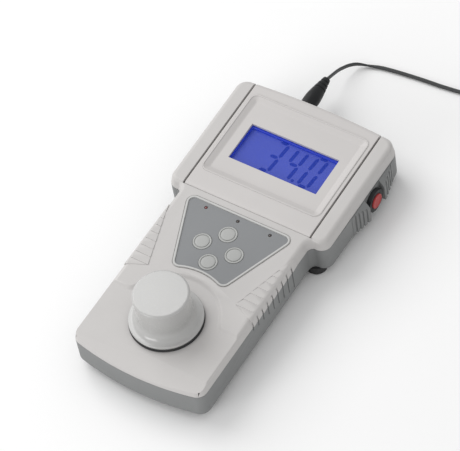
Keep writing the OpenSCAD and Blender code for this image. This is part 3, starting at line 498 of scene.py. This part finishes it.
def front_zone(grow):
    """Outline of the lower deck at the front: straight across, and round the well with a soft corner."""
    blend = 6.0 - grow / 2
    r = STEP_R + grow
    line_y = STEP_Y + grow
    centre_y = line_y + blend
    centre_x = math.sqrt((r + blend) ** 2 - (centre_y - WELL[1]) ** 2)
    turn = math.degrees(math.atan2(centre_y - WELL[1], centre_x))
    right = [(0.0, FRONT_Y - 20), (90.0, FRONT_Y - 20), (90.0, line_y)]
    right += arc((centre_x, centre_y), blend, 270, 180 + turn, 10)
    right += arc(WELL, r, turn, 90, 32)[1:]
    return both_sides(right)


def lower_deck():
    """The tool that sinks the front deck: its side slopes and is rounded at the top and at the foot."""
    steps = 8
    rings = []
    for k in range(steps + 1):
        share = k / steps
        rise = (DECK_Z - FRONT_DECK_Z) * share**2 * (3 - 2 * share)
        rings.append(lifted(front_zone(STEP_W * share), FRONT_DECK_Z + rise + 0.02 * share))
    return loft(rings + [lifted(front_zone(STEP_W), DECK_Z + 8)])


def above_band(z):
    """All that lies in front of the front deck's crease and above the sloped band, from z on."""
    tool = box((-90, -60, z), (90, 0, 20))
    tool.data.transform(Matrix.Translation(Vector((0, BAND_Y, FRONT_DECK_Z)) * MM)
                        @ Matrix.Rotation(math.radians(BAND_SLOPE), 4, "X"))
    return tool


def grip_edge(y):
    """How far out the inner edge of a grip is at y."""
    if y < GRIP_INNER[1]:
        share = (y - GRIP_TIP[1]) / (GRIP_INNER[1] - GRIP_TIP[1])
        return GRIP_TIP[0] + share * (GRIP_INNER[0] - GRIP_TIP[0])
    share = (y - GRIP_INNER[1]) / (GRIP_START[1] - GRIP_INNER[1])
    return GRIP_INNER[0] + share * (GRIP_START[0] - GRIP_INNER[0])


def grip_line(k):
    return GRIP_START[1] + 1.7 - GRIP_PITCH * k


def hull(points):
    bm = bmesh.new()
    for p in points:
        bm.verts.new(p)
    bmesh.ops.convex_hull(bm, input=bm.verts)
    bmesh.ops.delete(bm, geom=[v for v in bm.verts if not v.link_faces], context="VERTS")
    return part_from(bm)


def grip_teeth():
    """Nine facets on each side of the neck: every one rises to the front and ends in a small step."""
    wedges = []
    for k in range(GRIP_COUNT):
        y0, y1 = grip_line(k), grip_line(k + 1)
        back_x, front_x = grip_edge(y0), grip_edge(y1)
        if k == GRIP_COUNT - 1:
            front_x = NECK_HW - 2
        wedges += pair(hull([
            (back_x, y0, DECK_Z - 1), (back_x, y0, DECK_Z + 0.01), (NECK_HW, y0, DECK_Z + 0.01),
            (NECK_HW + 0.01, y0, SEAM_Z), (NECK_HW - 2, y0, SEAM_Z), (front_x, y1, DECK_Z - 1),
            (front_x, y1, DECK_Z + GRIP_RISE), (NECK_HW, y1, DECK_Z + GRIP_RISE),
            (NECK_HW + GRIP_RISE, y1, SEAM_Z), (NECK_HW - 2, y1, SEAM_Z), (NECK_HW, y0, DECK_Z - 2),
            (NECK_HW + GRIP_RISE - 0.3, y1, DECK_Z - 2),
        ]))
    return crossed(neck_block(GRIP_RISE), joined(wedges[0], *wedges[1:]))


def grip_slots(foot_z, foot_step, top_z):
    """Slots down the sides at the steps; foot_step shortens each one more than the one behind it."""
    depth, half_w = 0.7, 0.45
    slots = []
    for k in range(GRIP_COUNT):
        y = grip_line(k + 1)
        low = (NECK_HW - depth, y - half_w, foot_z + foot_step * k)
        slots += pair(box(low, (NECK_HW + 2, y + half_w, top_z)))
    return slots


def key_holes():
    return [post(p, KEY_R + KEY_GAP, 0, DECK_Z + 1) for p in key_places().values()]


def light_holes():
    return [post(p, LIGHT_HOLE_R, 0, DECK_Z + 1, 32) for p in light_places()]


def key_places():
    return {
        "left": (-KEY_SPREAD, KEYS_Y), "back": (0.0, KEYS_Y + KEY_SPREAD),
        "right": (KEY_SPREAD, KEYS_Y), "front": (0.0, KEYS_Y - KEY_SPREAD),
    }


def light_places():
    return [(k * LIGHTS_PITCH, LIGHTS_Y) for k in (-1, 0, 1)]


def case_places():
    right = [(NECK_HW - 7.6, FRONT_Y + 30), (NECK_HW - 7.6, HEAD_Y - 39),
             (HEAD_HW - 9.5, HEAD_Y + 17), (HEAD_HW - 9.5, BACK_Y - 24)]
    return right + [(-x, y) for x, y in right]


def make_upper():
    """The upper shell: hollow inside, with the lower front deck and openings for all that shows."""
    shell = joined(neck_block(), head_block(), grip_teeth())
    shell = cut(
        shell,
        cut(prism(body_plan(WALL), SEAM_Z - 1, FRONT_UNDER_Z - 0.5), above_band(-BAND_T)),
        box((3.4 - NECK_HW, STEP_Y + 3, SEAM_Z - 1), (NECK_HW - 3.4, HEAD_Y + WALL, DECK_UNDER_Z)),
        lower_deck(),
        above_band(0),
        box((-BEZEL_HW - GROOVE_W, BEZEL_Y - 0.2, SEAT_Z), (BEZEL_HW + GROOVE_W, BACK_Y + 5, ABOVE_Z)),
        box((-RECESS_HW, VIEW_Y - 23.5, 0), (RECESS_HW, VIEW_Y + 23.5, ABOVE_Z)),
        prism(foil_outline(0), DECK_Z - 0.6, DECK_Z + 5),
        cut(prism(foil_outline(1.9), DECK_Z - 0.5, DECK_Z + 5),
            prism(foil_outline(1.3), DECK_Z - 1, DECK_Z + 6)),
        *key_holes(),
        *light_holes(),
        post(WELL, TUBE_HOLE_R, 0, DECK_Z + 1, 96),
        *grip_slots(SEAM_Z - 1, 0.0, DECK_Z - 0.8),
    )
    posts = []
    for p in case_places():
        under_z = FRONT_UNDER_Z if p[1] < STEP_Y else DECK_UNDER_Z + 0.3
        posts.append(post(p, UPPER_POST_R, FLOOR_Z + 8, under_z))
    shell = joined(shell, *posts)
    return piece(shell, "upper_housing", "housing", UPPER, ["upper_shell"], bevel=0.22)


def make_foil():
    """The keypad foil, and the raised rim that frames it."""
    rim = cut(prism(foil_outline(1.4), DECK_Z - 0.3, DECK_Z + 0.6),
              prism(foil_outline(0.1), DECK_Z - 1, DECK_Z + 1))
    piece(rim, "foil_rim_moulding", "housing", FOIL_RIM, bevel=0.25)
    foil = cut(prism(foil_outline(-0.05), DECK_Z - 0.6, DECK_Z - 0.05), *key_holes(), *light_holes())
    piece(foil, "keypad_overlay", "housing", FOIL, ["keypad_foil"], bevel=0.08)


def make_keys():
    for side, (x, y) in key_places().items():
        profile = [
            (0, STEM_Z), (2.5, STEM_Z), (2.5, 29.1), (KEY_R + 0.6, 29.1), (KEY_R + 0.6, 30.0),
            (KEY_R, 30.0), (KEY_R, DECK_Z + 0.1), (KEY_R - 0.12, DECK_Z + 0.24), (KEY_R - 0.3, DECK_Z + 0.3),
            (KEY_R - 0.9, DECK_Z + 0.3), (KEY_R - 1.05, DECK_Z + 0.22), (KEY_R - 1.1, DECK_Z - 0.15),
            (KEY_R - 1.6, DECK_Z - 0.15), (KEY_R - 1.65, DECK_Z + 0.3), (KEY_R - 1.9, DECK_Z + 0.42),
            (KEY_R - 3.2, DECK_Z + 0.47), (0, DECK_Z + 0.5),
        ]
        key = placed(lathe(profile, 72), (x, y, 0))
        piece(key, f"{side}_key_cap", f"{side}_key", KEY, [f"key_{side}"], sharp_from=40)


def make_lights():
    kinds = (("left", LED_RED), ("middle", LED_DARK), ("right", LED_DARK))
    for (x, y), (name, tint) in zip(light_places(), kinds):
        dome = [(1.0 * math.cos(math.radians(a)), DECK_Z - 0.6 + 0.6 * math.sin(math.radians(a)))
                for a in range(0, 90, 15)]
        profile = [(0, 20.7), (1.7, 20.7), (1.7, 25.7), (1.0, 25.9)] + dome + [(0, DECK_Z)]
        lens = placed(lathe(profile, 32), (x, y, 0))
        piece(lens, f"indicator_{name}", "housing", tint)
    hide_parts("indicator_leds")


# ---------------------------------------------------------------- display


def recess_ring(grow):
    return rounded((0.0, RECESS_MID_Y), 2 * (RECESS_HW + grow), RECESS_L + 2 * grow, max(4 + grow, 1.0))


def dish_rings():
    """The recess as a soft dish: its side rolls off the lip, slopes down and runs out into the floor."""
    steps = 10
    rings = []
    for k in range(steps + 1):
        share = k / steps
        drop = RECESS_DEPTH * (1 - (0.55 * share + 0.45 * share**2 * (3 - 2 * share)))
        rings.append(lifted(recess_ring(-RECESS_BEVEL * (1 - share)), HEAD_Z - drop, HEAD_SLOPE))
    return rings + [lifted(recess_ring(0.4), HEAD_Z + 2, HEAD_SLOPE)]


def make_bezel():
    plate = crossed(head_block(), box((-BEZEL_HW, BEZEL_Y, SEAT_Z), (BEZEL_HW, BACK_Y + 1, ABOVE_Z)))
    lip = loft([lifted(recess_ring(1.2), SEAT_Z + 1), lifted(recess_ring(1.2), HEAD_Z + 0.3, HEAD_SLOPE),
                lifted(recess_ring(0.9), HEAD_Z + 0.5, HEAD_SLOPE)])
    plate = joined(plate, lip)
    view = (VIEW_W / 2, VIEW_L / 2)
    edge = 1.4
    plate = cut(
        plate,
        loft(dish_rings()),
        box((-view[0], VIEW_Y - view[1], SEAT_Z - 1), (view[0], VIEW_Y + view[1], ABOVE_Z)),
        box((-view[0] - edge, VIEW_Y - view[1] - edge, SEAT_Z - 1),
            (view[0] + edge, VIEW_Y + view[1] + edge, WINDOW_TOP_Z)),
    )
    piece(plate, "bezel_moulding", "housing", BEZEL, ["display_bezel"], bevel=0.2)


def make_lcd():
    """The panel, a blue border that lines the view opening, and the clear pane over both; the border's
    darker, deeper blue is painted shade from the opening's edge.
    """
    sides = ((0.15, LCD_TOP_Z - 2), (0, LCD_TOP_Z - 1.85), (0, LCD_TOP_Z - 0.15), (0.15, LCD_TOP_Z))
    glass = loft([lifted(rounded((0, VIEW_Y), 68.8 - 2 * i, 35 - 2 * i, 0.6, 3), z) for i, z in sides])
    piece(glass, "lcd_panel", "housing", LCD, ["lcd_glass"], sharp_from=20)
    width, length = VIEW_W + 2.6, VIEW_L + 2.6
    sides = ((0.1, WINDOW_Z), (0, WINDOW_Z + 0.1), (0, WINDOW_TOP_Z - 0.1), (0.1, WINDOW_TOP_Z))
    window = loft([lifted(rounded((0, VIEW_Y), width - 2 * i, length - 2 * i, 0.8, 4), z)
                   for i, z in sides])
    # The border is painted shade: darker, deeper blue than the panel, widest along the back edge where the
    # opening's shade falls.
    frame_plan = rounded((0, VIEW_Y), VIEW_W + 0.6, VIEW_L + 0.6, 0.6, 3)
    open_plan = rounded((0, VIEW_Y - 0.3), VIEW_W - 1.2, VIEW_L - 1.8, 1.2, 4)
    edge = cut(prism(frame_plan, LCD_TOP_Z + 0.02, WINDOW_Z - 0.02),
               prism(open_plan, LCD_TOP_Z - 1, WINDOW_Z + 1))
    piece(edge, "window_border_painted_shade", "housing", LCD_PAINTED_SHADE, sharp_from=30)
    piece(window, "window_pane", "housing", WINDOW, ["display_window"], sharp_from=20)


def segment(a, b, width):
    """A bar with pointed ends from a to b."""
    along = (Vector(b) - Vector(a)).normalized()
    side = Vector((-along.y, along.x)) * width / 2
    tip = along * width / 2
    a, b = Vector(a), Vector(b)
    return [tuple(p) for p in (a, a + tip - side, b - tip - side, b, b - tip + side, a + tip + side)]


SEGMENTS = {"0": "abcdef", "3": "abcdg", "4": "bcfg"}


def make_digits():
    """Seven-segment figures that lie on the panel."""
    height, width, stroke, gap = 24.5, 7.0, 2.5, 0.6
    low_y = VIEW_Y - VIEW_L / 2 + 3.0
    lean, pitch, last_x = 0.077, 14.6, 16.7
    bars = []
    for place, figure in enumerate("043"):
        left_x = last_x - pitch * place
        ends = {
            "a": ((0, height), (width, height)), "b": ((width, height), (width, height / 2)),
            "c": ((width, height / 2), (width, 0)), "d": ((0, 0), (width, 0)),
            "e": ((0, height / 2), (0, 0)), "f": ((0, height), (0, height / 2)),
            "g": ((0, height / 2), (width, height / 2)),
        }
        for name in SEGMENTS[figure]:
            start, end = Vector(ends[name][0]), Vector(ends[name][1])
            spare = (end - start).normalized() * gap
            bar = segment(start + spare, end - spare, stroke)
            bars.append([(left_x + x + lean * y, low_y + y) for x, y in bar])
    bars.append(arc((last_x - 4.3, low_y + 1.2), 1.1, 0, 330, 11))
    bm = bmesh.new()
    for bar in bars:
        rows = [[bm.verts.new((x, y, z)) for x, y in bar] for z in (LCD_TOP_Z - 0.03, LCD_TOP_Z + 0.04)]
        n = len(bar)
        for j in range(n):
            bm.faces.new((rows[0][j], rows[0][(j + 1) % n], rows[1][(j + 1) % n], rows[1][j]))
        bm.faces.new(rows[1])
        bm.faces.new(rows[0][::-1])
    piece(part_from(bm), "lcd_figures", "housing", LCD_DARK, sharp_from=30)


# ---------------------------------------------------------------- lower shell


def bulge(y0, y1, tall_y):
    """A ribbed bulge on the right side, tallest at tall_y."""
    root = [(x, y, z) for x in (HEAD_HW - 1, HEAD_HW + 0.2) for y in (y0, y1)
            for z in (BASE_Z + 1, SEAM_Z - 0.5)]
    crest_x = HEAD_HW + BULGE_OUT
    crest = [(x, tall_y + y, z) for x in (crest_x - 0.8, crest_x) for y in (-0.6, 0.6)
             for z in (BASE_Z + 1, BASE_Z + 14)]
    wedge = hull(root + crest)
    rising = tall_y > y0 + 1
    tools = []
    for k in range(1, BULGE_RIBS + 1):
        y = y0 + (y1 - y0) * k / (BULGE_RIBS + 1)
        x = HEAD_HW + BULGE_OUT * ((y - y0) if rising else (y1 - y)) / (y1 - y0)
        tools.append(box((x - RIB_DEPTH, y - RIB_W / 2, BASE_Z), (x + 3, y + RIB_W / 2, SEAM_Z)))
    return cut(wedge, *tools)


def foot_places():
    right = [(NECK_HW - 12, FRONT_Y + 15), (NECK_HW, HEAD_Y + 4), (HEAD_HW - 10.5, BACK_Y - 10.5)]
    return right + [(-x, y) for x, y in right]


def make_lower():
    """The lower shell, with its bulges, battery bay, door rails, screw posts and wall openings."""
    turns = [math.radians(90 * k / 8) for k in range(9)]
    skin = [lifted(body_plan(BASE_R * (1 - math.sin(t))), BASE_Z + BASE_R * (1 - math.cos(t)))
            for t in turns]
    shell = loft(skin + [lifted(body_plan(0), SEAM_Z - 0.35), lifted(body_plan(0.3), SEAM_Z)])
    shell = cut(shell, prism(body_plan(WALL), FLOOR_Z, SEAM_Z + 1))
    floor_z = BASE_Z + DOOR_T + EASY + 1.6
    outer, bay_wall, rail_w = DOOR_HW + EASY, 1.6, 4.6
    shell = joined(
        shell,
        *pair(bulge(SWITCH_Y - 25, SWITCH_Y - 9, SWITCH_Y - 9.6)),
        *pair(bulge(SWITCH_Y + 9, SWITCH_Y + 26, SWITCH_Y + 9.6)),
        box((BAY_X - outer - rail_w, BAY_Y0 - 6, BASE_Z + 0.2),
            (BAY_X + outer + rail_w, BACK_Y - 1.4, BASE_Z + 4.6)),
        box((BAY_X - BAY_HW - bay_wall, BAY_Y0 - bay_wall, floor_z - 1),
            (BAY_X + BAY_HW + bay_wall, BAY_Y1 + bay_wall, CELL_Z)),
        *[post(p, POST_R, FLOOR_Z - 0.5, FLOOR_Z + 8) for p in case_places()],
    )
    shell = cut(
        shell,
        *grip_slots(9.5, 1.6, SEAM_Z + 1),
        box((BAY_X - BAY_HW, BAY_Y0, 0), (BAY_X + BAY_HW, BAY_Y1, CELL_Z + CELL_R + 1)),
        box((BAY_X - outer, BAY_Y0 - 4 - EASY, 0), (BAY_X + outer, BACK_Y + 5, BASE_Z + DOOR_T + EASY)),
        box((BAY_X - outer - 2, BAY_Y0 - 4 - EASY, BASE_Z + 0.8),
            (BAY_X + outer + 2, BACK_Y + 5, BASE_Z + DOOR_T + EASY)),
        *[post(p, SCREW_HOLE_R, 0, FLOOR_Z + 9, 32) for p in case_places()],
        *[post(p, SCREW_HEAD_R, 0, BASE_Z + 3, 48) for p in case_places()],
        *[post(p, FOOT_R + 0.1, 0, BASE_Z + 1) for p in foot_places()],
        rod("X", (HEAD_HW - WALL - 2, SWITCH_Y, SWITCH_Z), 5.6, WALL + 8),
        rod("Y", (JACK_X, BACK_Y - WALL - 2, JACK_Z), 4.7, WALL + 6),
    )
    piece(shell, "lower_housing", "housing", LOWER, ["lower_shell"], bevel=0.25)


# ---------------------------------------------------------------- cap, switch and plug


def make_cap():
    z0, rim_r, top_r, waist_r = GASKET_TOP_Z, 23.8, 18.0, 17.6
    z1, skirt_z = z0 + CAP_H, z0 + 9.5
    rim = (rim_r - 0.9, z0 + 1.5)
    profile = [(0, z1 - 3), (14.9, z1 - 3), (15.6, z1 - 3.7), (15.6, z0 + 0.5), (16.1, z0)]
    profile += [(rim_r - 0.5, z0)]
    profile += arc(rim, 0.9, -60, 80, 8)
    cove = (rim[0] - 0.3, skirt_z)
    for a in range(84, -1, -6):
        turn = math.radians(a)
        profile.append((cove[0] - (cove[0] - waist_r) * math.cos(turn),
                        cove[1] - (skirt_z - rim[1] - 0.9) * math.sin(turn)))
    profile += arc((top_r - 1.5, z1 - 1.5), 1.5, 0, 90, 10)
    profile += [(top_r * 0.6, z1 + 0.12), (top_r * 0.25, z1 + 0.19), (0, z1 + 0.2)]
    cap = placed(lathe(profile, 144), (WELL[0], WELL[1], 0))
    piece(cap, "shade_cap_moulding", "cap", CAP, ["shade_cap"], sharp_from=50)


def make_gasket():
    r, z0, z1, inner = 24.0, FRONT_DECK_Z, GASKET_TOP_Z, 15.65
    outside = [(r - 0.3, z0), (r, z0 + 0.35), (r - 0.25, z0 + 1), (r, z1 - 0.35), (r - 0.3, z1)]
    loop = [(inner, z0)] + outside + [(inner, z1)]
    ring = placed(ring_lathe(loop, 120), (WELL[0], WELL[1], 0))
    piece(ring, "cap_seal", "housing", RUBBER, ["cap_gasket"], sharp_from=40)


def make_button():
    r, out, t = 5.2, 4.0, 1.85
    face = [(0, -4.0), (4.4, -4.0), (4.45, -3.8), (4.45, out - t), (r - 0.2, out - t), (r, out - t + 0.2)]
    face += arc((r - 0.5, out - 0.5), 0.5, 0, 80, 5) + [(r - 1.2, out - 0.02), (r - 1.5, out - 0.22),
                                                       (2.5, out - 0.3), (0, out - 0.32)]
    button = placed(lathe(face, 72), (HEAD_HW, SWITCH_Y, SWITCH_Z), "X")
    piece(button, "button_cap", "button", RED, ["power_button"], sharp_from=40)


def taper_r(s):
    body_r, tip_r = 5.4, LEAD_D / 2 + 1.1
    return body_r - (body_r - tip_r) * s**1.3


def make_plug():
    y0, length, straight = JACK_WALL_Y + 0.4, 31.0, 13.0
    taper = length - straight
    profile = [(0, 0), (4.7, 0), (5.2, 0.25), (5.4, 0.7), (5.4, straight)]
    grooves = [0.42 + 0.18 * k for k in range(3)]
    steps = 60
    for k in range(1, steps + 1):
        s = k / steps
        in_groove = any(g <= s < g + 0.055 for g in grooves)
        profile.append((taper_r(s) - (0.55 if in_groove else 0.0), straight + taper * s))
    profile += [(2.0, length + 0.2), (0, length + 0.2)]
    plug = placed(lathe(profile, 64), (JACK_X, y0, JACK_Z), "Y")
    plug = cut(plug, rod("Y", (JACK_X, y0 - 1, JACK_Z), 2.8, 2.2))
    return piece(plug, "plug_moulding", "housing", BLACK, ["plug_body"], bevel=0.1)


# ---------------------------------------------------------------- lead


def bend(a, b, c, d, t):
    """A point of the smooth curve that passes through b and c."""
    a, b, c, d = Vector(a), Vector(b), Vector(c), Vector(d)
    return 0.5 * (2 * b + (c - a) * t + (2 * a - 5 * b + 4 * c - d) * t**2 + (3 * b - a - 3 * c + d) * t**3)


def smooth_path(route, gap):
    last = len(route) - 1
    out = []
    for k in range(last):
        steps = math.ceil((Vector(route[k + 1]) - Vector(route[k])).length / gap)
        neighbours = (route[max(k - 1, 0)], route[k], route[k + 1], route[min(k + 2, last)])
        out += [bend(*neighbours, j / steps) for j in range(steps)]
    return out + [Vector(route[-1])]


def coil_path():
    """Turns laid side by side and then on top of each other, with a short step between them."""
    per_turn, step_share = 28, 0.16
    places = []
    for row in range(COIL_ROWS):
        columns = range(COIL_COLUMNS) if row % 2 == 0 else range(COIL_COLUMNS - 1, -1, -1)
        places += [(COIL_R + LEAD_D * (c - (COIL_COLUMNS - 1) / 2), 1.5 + LEAD_D * row) for c in columns]
    places.append(places[-1])
    points = []
    for k in range(int(per_turn * (len(places) - 1 + 0.25)) + 1):
        turn = k / per_turn
        now = min(int(turn), len(places) - 2)
        share = min(1.0, max(0.0, (turn - now - 1 + step_share) / step_share))
        share = share * share * (3 - 2 * share)
        r = places[now][0] * (1 - share) + places[now + 1][0] * share
        z = places[now][1] * (1 - share) + places[now + 1][1] * share
        angle = 2 * math.pi * (turn - 0.25)
        points.append(Vector((COIL_C[0] + r * math.cos(angle), COIL_C[1] + r * math.sin(angle), z)))
    return points


def twin_section():
    """Half-round wires side by side with a groove between them."""
    wire_r = LEAD_D / 4
    right = arc((wire_r, 0.0), wire_r, -125, 125, 10)
    return right + [(-x, -y) for x, y in right]


def make_lead():
    coil = coil_path()
    start = smooth_path(NEAR_ROUTE + [tuple(coil[0])], 3.5)[:-1]
    end = smooth_path([tuple(coil[-1])] + FAR_ROUTE, 3.5)[1:]
    path = start + coil + end
    along = 0.0
    section = twin_section()
    rings = []
    for k, p in enumerate(path):
        ahead = (path[min(k + 1, len(path) - 1)] - path[max(k - 1, 0)]).normalized()
        side = ahead.cross(Vector((0, 0, 1))).normalized()
        up = side.cross(ahead)
        along += (p - path[k - 1]).length if k else 0.0
        share = min(1.0, max(0.0, (along - 30) / 22))
        twist = math.radians(90) * (1 - share * share * (3 - 2 * share))
        across = side * math.cos(twist) + up * math.sin(twist)
        over = up * math.cos(twist) - side * math.sin(twist)
        rings.append([tuple(p + across * x + over * y) for x, y in section])
    lead = loft(rings)
    piece(lead, "mains_lead", "housing", JACKET, ["lead_near", "lead_coil", "lead_far"],
          sharp_from=60)
    return lead, [tuple(p * MM) for p in path]


# ---------------------------------------------------------------- carried-over CAD nodes

CARRIED = {
    "lcd_backlight": DIFFUSER, "display_board": BOARD, "display_screws": STEEL, "key_switches": BLACK,
    "main_board": BOARD, "board_chips": BLACK, "board_screws": STEEL, "flex_cable": FLEX,
    "sample_well": BLACK, "well_screws": STEEL, "light_source": LENS, "source_lens": LENS,
    "detectors": NICKEL, "optic_boards": BOARD, "switch_body": BLACK, "switch_nut": NICKEL,
    "dc_jack": BLACK, "plug_pin": NICKEL, "battery_cells": SLEEVE, "spring_contacts": NICKEL,
    "flat_contacts": NICKEL, "battery_door": LOWER, "feet": RUBBER, "case_screws": STEEL,
    "adapter_relief": BLACK, "adapter_body": BLACK, "adapter_pins": NICKEL,
}


def dress_carried():
    for name, material in CARRIED.items():
        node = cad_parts[name]
        node.data.materials.clear()
        node.data.materials.append(material)
        smoothed(node.data, 30)


# ---------------------------------------------------------------- studio


def make_stage():
    floor = loft([[(-3000, -3000, -0.5), (3000, -3000, -0.5), (3000, 3000, -0.5), (-3000, 3000, -0.5)],
                  [(-3000, -3000, 0), (3000, -3000, 0), (3000, 3000, 0), (-3000, 3000, 0)]])
    floor.name = "floor"
    floor.data.materials.append(moulded("floor", (0.93, 0.93, 0.93), 0.85, drift=0.004, grain=0.05,
                                        blotch_scale=3.0, specular=0.2))


def area_light(name, at, towards, size, power, colour=(1, 1, 1)):
    data = bpy.data.lights.new(name, "AREA")
    data.shape = "RECTANGLE"
    data.size, data.size_y = size
    data.energy = power
    data.color = colour
    light = bpy.data.objects.new(name, data)
    light.location = at
    light.rotation_euler = (Vector(towards) - Vector(at)).to_track_quat("-Z", "Y").to_euler()
    bpy.context.scene.collection.objects.link(light)


def make_studio():
    world = bpy.data.worlds.new("studio")
    world.use_nodes = True
    background = world.node_tree.nodes["Background"]
    background.inputs["Color"].default_value = (1, 1, 1, 1)
    background.inputs["Strength"].default_value = 0.66
    bpy.context.scene.world = world
    bpy.context.scene.view_settings.view_transform = "Standard"
    area_light("key", (-1.3, 0.3, 1.35), (0, 0, 0), (1.5, 1.5), 19)
    area_light("fill", (-0.5, -1.6, 0.7), (0, 0, 0), (1.0, 0.7), 8)


make_camera()
lead, lead_path = make_lead()
plug = make_plug()
make_upper()
make_foil()
make_keys()
make_lights()
make_bezel()
make_lcd()
make_digits()
make_lower()
make_cap()
make_gasket()
make_button()
dress_carried()
make_stage()
make_studio()
